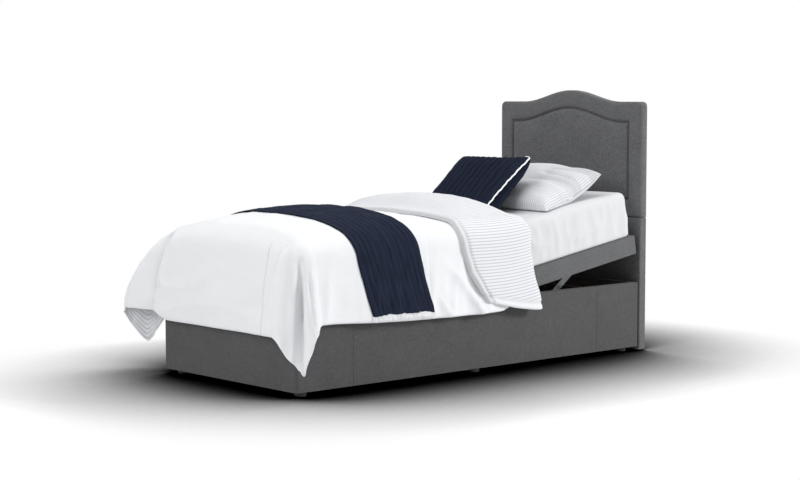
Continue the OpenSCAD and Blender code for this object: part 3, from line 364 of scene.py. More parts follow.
class Graph:
    """A short way to place and join nodes in one tree."""

    def __init__(self, tree: bpy.types.NodeTree) -> None:
        """Works on tree, which may be a material's tree or a group."""
        self.tree = tree

    def feed(self, node: bpy.types.Node, inputs: dict) -> bpy.types.Node:
        """Sets or links a node's inputs, by name or number, and returns the node."""
        for key, value in inputs.items():
            if isinstance(value, bpy.types.NodeSocket):
                self.tree.links.new(value, node.inputs[key])
            else:
                node.inputs[key].default_value = value
        return node

    def node(self, kind: str, inputs: dict | None = None, **settings: object) -> bpy.types.Node:
        """Adds a node.

        Args:
            kind: The node's type name.
            inputs: Values or output sockets, by input name or number.
            settings: Properties of the node.

        Returns:
            The node.
        """
        node = self.tree.nodes.new(kind)
        for key, value in settings.items():
            setattr(node, key, value)
        return self.feed(node, inputs or {})

    def group(self, tree: bpy.types.NodeTree, **inputs: object) -> Sequence[bpy.types.NodeSocket]:
        """Outputs of a node group that is fed with inputs."""
        return self.node("ShaderNodeGroup", inputs, node_tree=tree).outputs

    def math(self, operation: str, *values: object, clamp: bool = False) -> bpy.types.NodeSocket:
        """Result of a Math node on values or sockets."""
        inputs = dict(enumerate(values))
        return self.node("ShaderNodeMath", inputs, operation=operation, use_clamp=clamp).outputs[0]

    def mix(self, factor: object, a: object, b: object) -> bpy.types.NodeSocket:
        """Colour mix of a and b."""
        a, b = ((*c, 1.0) if isinstance(c, tuple) else c for c in (a, b))
        return self.node("ShaderNodeMix", {0: factor, 6: a, 7: b}, data_type="RGBA").outputs[2]

    def scaled(self, vector: object, scale: Colour) -> bpy.types.NodeSocket:
        """A coordinate stretched along its three axes."""
        inputs = {0: vector, 1: scale}
        return self.node("ShaderNodeVectorMath", inputs, operation="MULTIPLY").outputs[0]

    def noise(
        self, vector: object, scale: object, detail: float = 2.0, rough: float = 0.5
    ) -> bpy.types.NodeSocket:
        """Value of a noise texture."""
        inputs = {"Vector": vector, "Scale": scale, "Detail": detail, "Roughness": rough}
        return self.node("ShaderNodeTexNoise", inputs).outputs["Fac"]

    def mask(self, name: str) -> bpy.types.NodeSocket:
        """A value that the mesh carries at each vertex."""
        return self.node("ShaderNodeAttribute", attribute_name=name).outputs["Fac"]

    def object_place(self) -> bpy.types.NodeSocket:
        """Object coordinates of the piece."""
        return self.node("ShaderNodeTexCoord").outputs["Object"]

    def cloth_place(self) -> bpy.types.NodeSocket:
        """Coordinates along the piece's cloth."""
        return self.node("ShaderNodeUVMap", uv_map="UVMap").outputs["UV"]

    def bump(self, shader: bpy.types.Node, height: object, distance: float, strength: float) -> None:
        """Feeds a height through a Bump node to the shader's normal."""
        inputs = {"Strength": strength, "Distance": distance, "Height": height}
        self.feed(shader, {"Normal": self.node("ShaderNodeBump", inputs).outputs["Normal"]})


def new_group(
    name: str, inputs: dict[str, str], outputs: dict[str, str], kind: str = "ShaderNodeTree"
) -> tuple[Graph, Sequence[bpy.types.NodeSocket], bpy.types.Node]:
    """Starts a node group.

    Args:
        name: The group's name.
        inputs: Socket type of each input, by name.
        outputs: Socket type of each output, by name.
        kind: The type of the group's tree.

    Returns:
        The group's graph, the sockets that it is given and its output node.
    """
    tree = bpy.data.node_groups.new(name, kind)
    for side, sockets in (("INPUT", inputs), ("OUTPUT", outputs)):
        for key, socket in sockets.items():
            tree.interface.new_socket(name=key, in_out=side, socket_type=socket)
    given = tree.nodes.new("NodeGroupInput").outputs
    return Graph(tree), given, tree.nodes.new("NodeGroupOutput")


def new_material(name: str) -> tuple[bpy.types.Material, Graph, bpy.types.Node]:
    """Starts a material and returns it with its graph and its Principled shader."""
    material = bpy.data.materials.new(name)
    material.use_nodes = True
    shader = next(n for n in material.node_tree.nodes if n.type == "BSDF_PRINCIPLED")
    return material, Graph(material.node_tree), shader


class SharedGroups:
    """The node groups that more than one finish uses, each made once."""

    def __init__(self) -> None:
        """Builds every group."""
        self.weave = self._weave()
        self.stripes = self._stripes()
        self.mottle = self._mottle()
        self.grain = self._grain()

    @staticmethod
    def _weave() -> bpy.types.NodeTree:
        """Upright and level threads with heathered colour, on any upright or level face."""
        inputs = {"Vector": VECTOR, "Dark": COLOUR, "Light": COLOUR}
        g, given, end = new_group("woven_threads", inputs, {"Color": COLOUR, "Height": FLOAT})
        v = given["Vector"]
        upright = g.noise(g.scaled(v, (1.0, 1.0, 0.12)), 520.0, 2.0, 0.6)
        level = g.noise(g.scaled(v, (0.12, 0.12, 1.0)), 520.0, 2.0, 0.6)
        cloud = g.noise(v, 9.0, 3.0, 0.6)
        fleck = g.math("MULTIPLY_ADD", g.math("MAXIMUM", upright, level), 1.9, -0.72, clamp=True)
        factor = g.math("ADD", fleck, g.math("MULTIPLY_ADD", cloud, 0.30, -0.15), clamp=True)
        colour = g.mix(factor, given["Dark"], given["Light"])
        g.feed(end, {"Color": colour, "Height": g.math("ADD", upright, level)})
        return g.tree

    @staticmethod
    def _stripes() -> bpy.types.NodeTree:
        """Fine stripes at a pitch along one cloth coordinate."""
        inputs = {"Place": FLOAT, "Pitch": FLOAT, "Share": FLOAT}
        g, given, end = new_group("pin_stripes", inputs, {"Mask": FLOAT})
        turns = g.math("DIVIDE", given["Place"], given["Pitch"])
        part = g.math("FRACT", g.math("ADD", turns, 400.0))
        centre = g.math("ABSOLUTE", g.math("SUBTRACT", part, 0.5))
        edge = g.math("SUBTRACT", g.math("MULTIPLY", given["Share"], 0.5), centre)
        g.feed(end, {"Mask": g.math("MULTIPLY_ADD", edge, 14.0, 0.5, clamp=True)})
        return g.tree

    @staticmethod
    def _mottle() -> bpy.types.NodeTree:
        """Uneven tone and fine grain for paint, plating and moulded plastic."""
        inputs = {"Vector": VECTOR, "Scale": FLOAT, "Base": COLOUR, "Worn": COLOUR}
        outputs = {"Color": COLOUR, "Roughness": FLOAT, "Height": FLOAT}
        g, given, end = new_group("uneven_surface", inputs | {"Low": FLOAT, "High": FLOAT}, outputs)
        v = given["Vector"]
        patch = g.math("MULTIPLY_ADD", g.noise(v, given["Scale"], 4.0), 2.6, -0.9, clamp=True)
        spread = g.math("SUBTRACT", given["High"], given["Low"])
        rough = g.math("MULTIPLY_ADD", patch, spread, given["Low"])
        colour = g.mix(patch, given["Base"], given["Worn"])
        g.feed(end, {"Color": colour, "Roughness": rough, "Height": g.noise(v, 900.0, 2.0, 0.6)})
        return g.tree

    @staticmethod
    def _grain() -> bpy.types.NodeTree:
        """Wood grain that runs along Y, or along what its vector has in Y's place."""
        inputs = {"Vector": VECTOR, "Pale": COLOUR, "Dark": COLOUR}
        g, given, end = new_group("wood_grain", inputs, {"Color": COLOUR, "Height": FLOAT})
        v = given["Vector"]
        rings = g.noise(g.scaled(v, (30.0, 3.0, 30.0)), 1.6, 4.0, 0.6)
        fibres = g.noise(g.scaled(v, (260.0, 12.0, 260.0)), 1.0, 2.0, 0.6)
        fine = g.math("MULTIPLY_ADD", fibres, 0.6, -0.75)
        both = g.math("MULTIPLY_ADD", rings, 1.5, fine, clamp=True)
        g.feed(end, {"Color": g.mix(both, given["Pale"], given["Dark"]), "Height": fibres})
        return g.tree


@dataclass(frozen=True)
class Upholstery:
    """Heathered woven cloth over padding."""

    name: str
    dark: Colour
    light: Colour

    def make(self, shared: SharedGroups) -> bpy.types.Material:
        """Builds the material from the shared weave."""
        material, g, shader = new_material(self.name)
        tones = {"Dark": (*self.dark, 1), "Light": (*self.light, 1)}
        weave = g.group(shared.weave, Vector=g.object_place(), **tones)
        g.feed(shader, {
            "Base Color": weave["Color"],
            "Roughness": 0.92,
            "Specular IOR Level": 0.2,
            "Sheen Weight": 0.12,
            "Sheen Roughness": 0.5,
        })
        g.bump(shader, weave["Height"], 0.0006, 0.55)
        return material


@dataclass(frozen=True)
class Cotton:
    """Fine white cotton whose lining side carries grey pin stripes."""

    name: str
    white: Colour
    stripe: Colour = (0.47, 0.49, 0.53)
    pitch: float = 0.0135
    share: float = 0.27
    striped: bool = True
    crinkle: float = 0.0

    def make(self, shared: SharedGroups) -> bpy.types.Material:
        """Builds the material; attributes say where the stripes show and where painted shade darkens
        folds, grooves and contact lines.
        """
        material, g, shader = new_material(self.name)
        uv = g.cloth_place()
        slub = g.noise(g.scaled(uv, (900.0, 55.0, 1.0)), 1.0, 2.0, 0.6)
        cross = g.noise(g.scaled(uv, (60.0, 1000.0, 1.0)), 1.0, 2.0, 0.6)
        threads = g.math("ADD", slub, cross)
        shade = g.math("MULTIPLY_ADD", threads, 0.22, -0.11, clamp=True)
        white = g.mix(shade, self.white, toned(self.white, 0.9))
        soft = g.math("MULTIPLY_ADD", g.noise(uv, 6.0, 3.0, 0.55), 0.5, -0.1, clamp=True)
        white = g.mix(soft, white, toned(self.white, 0.965))
        if self.striped:
            place = g.node("ShaderNodeSeparateXYZ", {0: uv}).outputs[0]
            stripes = g.group(shared.stripes, Place=place, Pitch=self.pitch, Share=self.share)
            # Here the mask marks the lining side; on the navy cloth the same attribute carries
            # painted rib-valley shade.
            mask = g.mask("lining_and_rib_shade")
            white = g.mix(mask, white, toned(self.white, 0.93))
            white = g.mix(g.math("MULTIPLY", stripes["Mask"], mask), white, self.stripe)
        # Painted shade: the fold_shade mask darkens the white towards half its tone in folds, grooves
        # and along contact lines.
        fold = g.math("MULTIPLY", g.mask("fold_shade"), 0.85)
        g.feed(shader, {
            "Base Color": g.mix(fold, white, toned(self.white, 0.50)),
            "Roughness": 0.85,
            "Specular IOR Level": 0.25,
            "Sheen Weight": 0.1,
        })
        creases = g.noise(g.scaled(uv, (16.0, 170.0, 1.0)), 1.0)
        g.bump(shader, g.math("MULTIPLY_ADD", creases, self.crinkle, threads), 0.0005, 0.5)
        return material


@dataclass(frozen=True)
class NavyQuilt:
    """Deep navy cotton, ribbed and slightly crushed."""

    name: str
    deep: Colour
    lit: Colour
    crush: Colour

    def make(self, shared: SharedGroups) -> bpy.types.Material:
        """Builds the material with crushed ribs from its cloth coordinates, and painted shade in the
        rib valleys from a mesh mask.
        """
        material, g, shader = new_material(self.name)
        uv = g.cloth_place()
        crush = g.noise(g.scaled(uv, self.crush), 1.0, 3.0, 0.55)
        factor = g.math("MULTIPLY_ADD", crush, 1.6, -0.35, clamp=True)
        # Painted shade: the rib valley mask darkens the navy to a third of its deep tone.
        rib_valley_shade = g.math("MULTIPLY", g.mask("lining_and_rib_shade"), 0.8)
        colour = g.mix(rib_valley_shade, g.mix(factor, self.deep, self.lit), toned(self.deep, 0.3))
        g.feed(shader, {"Base Color": colour, "Roughness": 0.95, "Specular IOR Level": 0.06})
        fine = g.noise(uv, 700.0, 2.0, 0.6)
        g.bump(shader, g.math("MULTIPLY_ADD", fine, 0.12, crush), 0.003, 0.6)
        return material


class Surface(Enum):
    """What an uneven hard surface is: scale of its patches, metal share, bump and its strength."""

    PAINTED = (25.0, 0.0, 0.0002, 0.4)
    PLATED = (70.0, 1.0, 0.0002, 0.4)
    TURNED = (25.0, 1.0, 0.0002, 0.4)
    MOULDED = (18.0, 0.0, 0.0003, 0.5)


@dataclass(frozen=True)
class Hard:
    """Steel that is painted, zinc plated or turned, or moulded plastic."""

    name: str
    look: Surface
    base: Colour
    worn: Colour
    low: float = 0.42
    high: float = 0.6

    def make(self, shared: SharedGroups) -> bpy.types.Material:
        """Builds the material from the shared uneven surface."""
        material, g, shader = new_material(self.name)
        scale, metal, bump, strength = self.look.value
        vector = g.object_place()
        if self.look is Surface.TURNED:
            vector = g.scaled(vector, (6.0, 1.0, 1.0))
        mottle = g.group(
            shared.mottle,
            Vector=vector,
            Scale=scale,
            Base=(*self.base, 1),
            Worn=(*self.worn, 1),
            Low=self.low,
            High=self.high,
        )
        colour, rough = mottle["Color"], mottle["Roughness"]
        g.feed(shader, {"Base Color": colour, "Roughness": rough, "Metallic": metal})
        g.bump(shader, mottle["Height"], bump, strength)
        return material


@dataclass(frozen=True)
class Timber:
    """Dark softwood or plywood with grain."""

    name: str
    pale: Colour
    dark: Colour
    along_x: bool = False

    def make(self, shared: SharedGroups) -> bpy.types.Material:
        """Builds the material from the shared grain."""
        material, g, shader = new_material(self.name)
        vector = g.object_place()
        if self.along_x:
            x, y, z = g.node("ShaderNodeSeparateXYZ", {0: vector}).outputs
            vector = g.node("ShaderNodeCombineXYZ", {0: y, 1: x, 2: z}).outputs[0]
        tones = {"Pale": (*self.pale, 1), "Dark": (*self.dark, 1)}
        grain = g.group(shared.grain, Vector=vector, **tones)
        g.feed(shader, {"Base Color": grain["Color"], "Roughness": 0.7})
        g.bump(shader, grain["Height"], 0.0004, 0.4)
        return material


FINISHES = {
    "headboard_fabric": Upholstery("headboard cloth", (0.068, 0.069, 0.072), (0.196, 0.198, 0.205)),
    "base_fabric": Upholstery("base cloth", (0.0515, 0.0515, 0.0533), (0.114, 0.114, 0.1177)),
    "deck_fabric": Upholstery("deck cloth", (0.082, 0.0835, 0.086), (0.172, 0.1745, 0.179)),
    # The rails and boards are given dark tones; no stain is known.
    "timber": Timber("dark rail", (0.075, 0.062, 0.050), (0.035, 0.028, 0.022)),
    "deck_board": Timber("dark board", (0.070, 0.060, 0.050), (0.034, 0.028, 0.023), True),
    "frame_steel": Hard(
        "painted frame", Surface.PAINTED, (0.028, 0.028, 0.030), (0.045, 0.045, 0.048), 0.38, 0.55
    ),
    # Zinc plate toned far darker than bare zinc: painted shade, so that the lift arm seen in the gap
    # under the raised back reads dark.
    "zinc_steel": Hard(
        "zinc plate", Surface.PLATED, (0.120, 0.122, 0.127), (0.175, 0.178, 0.185), 0.34, 0.55
    ),
    "pin_steel": Hard(
        "turned pin", Surface.TURNED, (0.45, 0.45, 0.46), (0.55, 0.55, 0.56), 0.2, 0.38
    ),
    "drive_plastic": Hard(
        "drive housing", Surface.MOULDED, (0.020, 0.020, 0.022), (0.032, 0.032, 0.034)
    ),
    "motor_plastic": Hard(
        "motor cover", Surface.MOULDED, (0.030, 0.030, 0.032), (0.045, 0.045, 0.048)
    ),
    "box_plastic": Hard(
        "control box", Surface.MOULDED, (0.018, 0.018, 0.020), (0.028, 0.028, 0.030)
    ),
    "roller_plastic": Hard(
        "nylon roller", Surface.MOULDED, (0.72, 0.72, 0.69), (0.62, 0.61, 0.58), 0.3, 0.45
    ),
    "glide_plastic": Hard(
        "glide", Surface.MOULDED, (0.015, 0.015, 0.015), (0.03, 0.03, 0.03), 0.5, 0.7
    ),
    "mattress_ticking": Cotton("fitted sheet", (0.63, 0.64, 0.655), striped=False, crinkle=1.0),
    "duvet_cotton": Cotton("duvet cover", (0.765, 0.775, 0.795), crinkle=3.5),
    # The pillowcase's white is toned below the duvet's as painted shade: the pillow lies in the
    # cushion's shade.
    "pillow_cotton": Cotton(
        "pillowcase", (0.72, 0.73, 0.755), pitch=0.0115, share=0.3, crinkle=1.5
    ),
    "runner_quilt": NavyQuilt(
        "runner quilt", (0.0098, 0.0135, 0.0270), (0.0205, 0.0270, 0.0470), (14.0, 70.0, 1.0)
    ),
    "cushion_quilt": NavyQuilt(
        "cushion quilt", (0.0080, 0.0112, 0.0230), (0.0165, 0.0215, 0.0380), (70.0, 14.0, 1.0)
    ),
    # The piping's white is brighter than the duvet's as painted light, so that the fringe strands in
    # the runner's shade still read white.
    "piping": Cotton("white piping", (0.88, 0.895, 0.91), striped=False),
}


class Finishes:
    """Every material of the bed, by the record's slot."""

    def __init__(self) -> None:
        """Builds the shared groups and the materials."""
        shared = SharedGroups()
        self.by_slot = {slot: finish.make(shared) for slot, finish in FINISHES.items()}

    def dress(self, obj: bpy.types.Object, slot: str, *nodes: str, fill: float | None = None) -> None:
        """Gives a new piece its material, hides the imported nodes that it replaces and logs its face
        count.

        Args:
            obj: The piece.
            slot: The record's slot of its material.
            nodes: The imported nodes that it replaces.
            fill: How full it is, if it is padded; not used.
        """
        obj.data.materials.append(self.by_slot[slot])
        if nodes:
            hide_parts(*nodes)
        log.info("%s: %d faces", obj.name, len(obj.data.polygons))

    def dress_frame(self) -> None:
        """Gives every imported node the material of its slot."""
        slots = {s["node"]: s["material_slot"] for s in frame["record"]["subparts"]}
        for name, obj in frame["nodes"].items():
            material = self.by_slot[slots[name]]
            if not obj.data.materials:
                obj.data.materials.append(material)
            for place in obj.material_slots:
                place.material = material


# The bed's own shape: where cloth lies and hangs


@dataclass(frozen=True)
class BedShape:
    """Sizes of the made-up bed and the map from cloth to space.

    A place on the cloth is (a, y): a runs across the bed along the cloth, y is the place along
    the bed. Past the foot, y runs on along the cloth as it rolls over and hangs.
    """

    mattress_top: float = 0.618
    bend_foot_y: float = 0.020
    bend_head_y: float = 0.2722
    bend_rise: float = 0.0205
    top_half: float = 0.391
    roll_y: float = -0.935
    roll_r: float = 0.085
    flare: float = 0.09
    loft: float = 0.093
    crown_y: float = -0.52
    foot_share: float = 0.50
    foot_hem_z: float = 0.2443
    side_hem: tuple[tuple[float, float], ...] = (
        (-0.935, 0.295), (-0.883, 0.295), (-0.77, 0.290), (-0.65, 0.283), (-0.515, 0.278),
        (-0.235, 0.272), (0.058, 0.272), (0.13, 0.274),
    )
    side_in: float = 0.4555
    foot_in: float = 1.0170
    hinge: tuple[float, float] = (0.165, 0.396)
    rise_deg: float = 9.3

    def hanging(self, a: Array, b: Array) -> tuple[Array, Array]:
        """How far places on the cloth lie past the side's and past the foot's roll line."""
        return np.maximum(0, np.abs(a) - self.top_half), np.maximum(0, self.roll_y - b)

    def bed_z(self, y: Array) -> Array:
        """Height of the mattress's top at y, up to the end of the hip's bend and beyond."""
        share = np.clip((y - self.bend_foot_y) / (self.bend_head_y - self.bend_foot_y), 0, None)
        bend = self.bend_rise * np.minimum(share, 1.0) ** 2
        slope = math.tan(math.radians(self.rise_deg))
        return self.mattress_top + bend + slope * np.maximum(0, y - self.bend_head_y)

    def along(self, y: Array) -> Array:
        """Share of the crown's height at y, 1 at its peak."""
        t_foot = np.clip((self.crown_y - y) / (self.crown_y - self.roll_y), 0, 1)
        t_head = np.clip((y - self.crown_y) / -self.crown_y, 0, 1)
        foot = self.foot_share + (1 - self.foot_share) * np.cos(np.pi / 2 * t_foot)
        head = 0.43 + 0.57 * (0.5 + 0.5 * np.cos(np.pi * t_head))
        return np.where(y < self.crown_y, foot, head)

    def cross(self, y: Array) -> Array:
        """Share of its height that the crown loses between the middle and the sides."""
        return np.clip(0.45 + 0.33 * (-0.16 - y), 0.42, 0.68)

    def crown(self, x: Array, y: Array) -> Array:
        """Height of the duvet's top above the mattress."""
        v = np.minimum(np.abs(x) / self.top_half, 1.0)
        return self.loft * self.along(y) * (1 - self.cross(y) * v**3)

    def side_tilt(self, y: Array) -> Array:
        """Slope of the crown where the side starts to roll, in radians."""
        return np.arctan(3 * self.loft * self.along(y) * self.cross(y) / self.top_half)

    def foot_tilt(self, x: Array) -> Array:
        """Slope of the crown where the foot starts to roll, in radians."""
        steep = self.loft * (1 - self.foot_share) * np.pi / 2 / (self.crown_y - self.roll_y)
        v = np.minimum(np.abs(x) / self.top_half, 1.0)
        return np.arctan(steep * (1 - self.cross(np.array(self.roll_y)) * v**3))

    def drape(self, height: Array, tilt: Array) -> Array:
        """Length of cloth from the start of the roll to a hem that hangs height lower."""
        r = self.roll_r / (1 - np.sin(tilt))
        return height - r * np.cos(tilt) + r * (np.pi / 2 - tilt)

    def side_drape(self, b: Array) -> Array:
        """Length of cloth that hangs from the start of the side's roll, at b along the bed."""
        hem = smooth_curve(b, self.side_hem)
        edge = self.bed_z(b) + self.crown(np.full_like(b, self.top_half), b)
        return self.drape(edge - hem, self.side_tilt(b))

    def foot_drape(self, a: Array) -> Array:
        """Length of cloth that hangs from the start of the foot's roll, at a across the bed."""
        edge = self.mattress_top + self.crown(a, np.full_like(a, self.roll_y))
        return self.drape(edge - self.foot_hem_z, self.foot_tilt(a))

    def roll(self, rho: Array, tilt: Array, grow: Array | float) -> tuple[Array, Array]:
        """How far out and how far down a cloth has gone at rho past the start of its roll.

        Args:
            rho: Distance along the cloth.
            tilt: Slope at which the roll starts, in radians.
            grow: How far the cloth lies outside the duvet.

        Returns:
            The distance out and the distance down.
        """
        r = self.roll_r / (1 - np.sin(tilt)) + grow
        quarter = r * (np.pi / 2 - tilt)
        turn = tilt + np.minimum(rho, quarter) / r
        past = np.maximum(0, rho - quarter)
        out = r * (np.sin(turn) - np.sin(tilt)) + self.flare * past
        return out, r * (np.cos(tilt) - np.cos(turn)) + past


class Corner(Enum):
    """The duvet's two hanging corners."""

    NEAR = "near"
    FAR = "far"


class CornerFolds:
    """The hems of the duvet's two hanging corners and how the cloth falls to them.

    Each row is the angle round the corner from the side to the foot, the hem's place out past
    the side and past the foot from where the cloth starts to roll, its height, and how soon
    the cloth above it takes the hem's line: a low number gives a fold that starts at the top.
    """

    hems = {
        Corner.NEAR: (
            (0, 0.108, 0.000, 0.295, 1.2), (9, 0.128, 0.012, 0.290, 1.2),
            (17, 0.154, 0.036, 0.281, 1.2), (26, 0.168, 0.066, 0.244, 1.2),
            (34, 0.162, 0.087, 0.194, 1.2), (41, 0.141, 0.098, 0.145, 1.1),
            (46.5, 0.131, 0.100, 0.102, 1.0), (51, 0.110, 0.117, 0.137, 0.9),
            (58, 0.079, 0.141, 0.172, 0.7), (66, 0.043, 0.155, 0.222, 0.6),
            (74, -0.014, 0.156, 0.2545, 0.6), (80, -0.064, 0.143, 0.262, 0.65),
            (85, -0.046, 0.121, 0.257, 0.70), (90, 0.000, 0.1129, 0.2443, 0.70),
        ),
        Corner.FAR: (
            (0, 0.108, 0.000, 0.295, 0.6), (12, 0.139, 0.010, 0.240, 0.6),
            (24, 0.190, 0.030, 0.172, 0.6), (33, 0.238, 0.045, 0.122, 0.6),
            (40, 0.263, 0.085, 0.165, 0.5), (46.5, 0.275, 0.130, 0.232, 0.45),
            (51, 0.272, 0.146, 0.265, 0.42), (58, 0.232, 0.138, 0.272, 0.42),
            (64, 0.170, 0.116, 0.271, 0.42), (70, 0.115, 0.093, 0.269, 0.42),
            (77, 0.094, 0.113, 0.269, 0.42), (84, 0.050, 0.116, 0.258, 0.42),
            (90, 0.000, 0.1129, 0.2443, 0.42),
        ),
    }
    valleys = {
        Corner.NEAR: ((46.0, 5.5, 0.034), (27.0, 3.5, 0.010), (62.0, 3.0, 0.006)),
        Corner.FAR: ((72.0, 3.0, 0.042), (52.0, 4.0, 0.010)),
    }
    bows = {Corner.NEAR: 0.0, Corner.FAR: 1.0}
    starts = {Corner.NEAR: 0.34, Corner.FAR: 0.24}
    swells = {Corner.NEAR: 0.22, Corner.FAR: 0.08}

    def __init__(self, shape: BedShape) -> None:
        """Takes the bed's sizes."""
        self.shape = shape

    def fall(self, corner: Corner, angle: Array, rho: Array) -> tuple[Array, Array, Array]:
        """Where the cloth of a corner falls.

        Args:
            corner: Which corner.
            angle: Angle round the corner in degrees, 0 at the side and 90 at the foot.
            rho: Distance along the cloth from the start of the roll.

        Returns:
            Distance out past the side's and past the foot's roll line, and the height.
        """
        p = self.shape
        turn = np.radians(angle)
        start_x, start_y = np.array(p.top_half), np.array(p.roll_y)
        side = p.side_drape(start_y) / np.maximum(np.cos(turn), 1e-6)
        full = np.minimum(side, p.foot_drape(start_x) / np.maximum(np.sin(turn), 1e-6))
        tilt = p.side_tilt(start_y) * np.cos(turn) ** 2 + p.foot_tilt(start_x) * np.sin(turn) ** 2
        out, drop = p.roll(rho, tilt, 0.0)
        hem_out, hem_drop = p.roll(full, tilt, 0.0)
        top = p.mattress_top + float(p.crown(start_x, start_y))
        rows = self.hems[corner]
        place = [smooth_curve(angle, [(r[0], r[k]) for r in rows]) for k in (1, 2, 3, 4)]
        share = np.clip(rho / full, 0, 1)
        start = ease(share / self.starts[corner])
        weight = np.clip((share - 0.05) / 0.95, 0, 1) ** place[3] * start
        bow = self.bows[corner] * np.sin(np.pi * np.clip(angle, 0, 90) / 90) ** 0.5
        bowed = np.sin(np.pi / 2 * np.clip(drop / hem_drop, 0, 1)) ** 0.65
        flat = []
        for k, part in enumerate((np.cos(turn), np.sin(turn))):
            hung = out * part + weight * (place[k] - hem_out * part)
            stood = out * part + start * (place[k] * bowed - out * part)
            flat.append(hung + bow * (stood - hung))
        x, y = flat
        z = top - drop * (1 + start * ((top - place[2]) / hem_drop - 1))
        below = self.swells[corner]
        swell = np.sin(np.pi * np.clip((share - below) / (0.96 - below), 0, 1))
        for centre, wide, deep in self.valleys[corner]:
            dent = deep * swell * np.exp(-(((angle - centre) / wide) ** 2))
            x, y = x - dent * np.cos(turn), y - dent * np.sin(turn)
        return x, y, z


class DuvetSurface:
    """The duvet's outer side as a smooth surface with its broad folds and small creases."""

    # Painted shade lines in the corners' folds, by side: angle round the corner, width in degrees and
    # darkness.
    shade_lines = {1: (46.0, 3.0, 0.22), -1: (72.0, 2.4, 0.6)}

    def __init__(self, shape: BedShape) -> None:
        """Takes the bed's sizes."""
        self.shape = shape
        self.folds = CornerFolds(shape)

    def plain(self, a: Array, b: Array, grow: Array | float = 0.0) -> Array:
        """Places on the cloth without creases.

        Args:
            a: Places across the bed along the cloth.
            b: Places along the bed along the cloth.
            grow: How far a second layer lies outside the duvet.

        Returns:
            Points in space, one for each place.
        """
        p = self.shape
        side = np.where(a < 0, -1.0, 1.0)
        s, f = p.hanging(a, b)
        x0 = np.minimum(np.abs(a), p.top_half)
        y0 = np.maximum(b, p.roll_y)
        rho = np.hypot(s, f)
        angle = np.degrees(np.arctan2(f, s))
        direction = np.radians(angle)
        tilt = p.side_tilt(y0) * np.cos(direction) ** 2 + p.foot_tilt(x0) * np.sin(direction) ** 2
        out, drop = p.roll(rho, tilt, grow)
        x = out * np.cos(direction) * (rho > 0)
        y = out * np.sin(direction) * (rho > 0)
        z = p.bed_z(y0) + p.crown(x0, y0) + grow - drop
        for corner, here in ((Corner.NEAR, side > 0), (Corner.FAR, side < 0)):
            here = here & (s > 0) & (f > 0)
            fallen = self.folds.fall(corner, angle, rho)
            x, y, z = (np.where(here, new, old) for new, old in zip(fallen, (x, y, z)))
        return np.stack([side * (x0 + x), y0 - y, z], axis=-1)

    def creases(self, a: Array, b: Array) -> Array:
        """Height of the small creases and of the filling's soft hills."""
        s, f = self.shape.hanging(a, b)
        hang = ease((np.hypot(s, f) - 0.08) / 0.3)
        hills = 0.0045 * cloth_noise(a / 0.21 + 7, b / 0.26 + 3, 11)
        small = 0.0022 * cloth_noise(a / 0.05, b / 0.055, 12)
        side = ease(s / 0.15) * (1 - ease(f / 0.1))
        upright = 0.0150 * cloth_ridge(b / 0.11 + 0.35 * s / 0.3, s / 0.70 + 9, 13)
        upright += 0.0045 * cloth_noise(b / 0.034 + 0.6 * s / 0.3, s / 0.30 + 5, 18)
        slack = 0.0260 * cloth_ridge((b - 0.7 * s) / 0.10, s / 0.40, 14) * ease((b + 0.36) / 0.18)
        foot = ease(f / 0.15) * (1 - ease(s / 0.1))
        level = 0.0060 * cloth_ridge(a / 0.30, f / 0.09 + 4, 15)
        level = level + 0.0018 * cloth_noise(a / 0.10, f / 0.025, 19)
        drape = 0.0060 * cloth_noise(a / 0.12, f / 0.5 + 2, 16)
        corner = ease(s / 0.1) * ease(f / 0.1)
        ripple = 0.0080 * cloth_ridge(np.arctan2(f, s + 1e-6) * 9.0, np.hypot(s, f) / 0.16, 17)
        over = 0.0100 * ease((a - self.overlap_a(f) + 0.004) / 0.010)
        over = over * ease((f - 0.06) / 0.12) * (1 - ease(s / 0.08))
        hung = side * (upright + slack) + foot * (level + drape) + corner * ripple
        return hills + small + over + hang * hung

    def fold_shade(self, a: Array, b: Array) -> Array:
        """Painted shade on the cloth, from 0 to 1: inside the corners' sharp folds and beside the
        edge where the near corner lies over the foot.
        """
        s, f = self.shape.hanging(a, b)
        angle = np.degrees(np.arctan2(f, s + 1e-6))
        reach = ease((np.hypot(s, f) - 0.17) / 0.16)
        dark = np.zeros(a.shape)
        for side, (centre, wide, deep) in self.shade_lines.items():
            here = (np.sign(a) == side) & (s > 0) & (f > 0)
            shade = deep * np.exp(-(((angle - centre) / wide) ** 2)) * reach
            dark += np.where(here, shade, 0.0)
        # Painted shadow beside the edge where the near corner's cloth lies over the foot.
        edge = np.exp(-(((a - self.overlap_a(f) + 0.003) / 0.0055) ** 2)) * ease((f - 0.07) / 0.10)
        return np.clip(dark + 0.95 * edge, 0, 1)

    @staticmethod
    def overlap_a(f: Array) -> Array:
        """Place across the foot where the near corner's cloth starts to lie over it."""
        return 0.298 - 0.020 * ease(f / 0.35)

    def points(
        self, a: Array, b: Array, grow: Array | float = 0.0, creased: bool = True
    ) -> tuple[Array, Array]:
        """Points and unit normals of a cloth grid, creases included."""
        plain = self.plain(a, b, grow)
        normal = grid_normals(plain)
        normal *= np.where(normal[len(a) // 2, len(a[0]) // 2, 2] < 0, -1.0, 1.0)
        if creased:
            plain = plain + normal * self.creases(a, b)[..., None]
        return plain, normal

# Sub-assemblies

# Places along the bed where one length of bedding ends and the next starts
KNEE_CUT = (-0.3355, -0.335)
SEAT_CUT = (-0.006, -0.0055)


class Bend(Enum):
    """Joints that soft pieces span: the bodies towards foot and head, and where the bend would start
    and end.
    """

    KNEE = ("calf", "thigh", -0.52, -0.34)
    THIGH = ("thigh", "base", -0.34, -0.02)
    HIP = ("base", "back", 0.0, 0.31)

    def blend(self, obj: bpy.types.Object) -> None:
        """Bakes a piece's placement into its mesh; no blend from one body to the other is made."""
        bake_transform(obj)


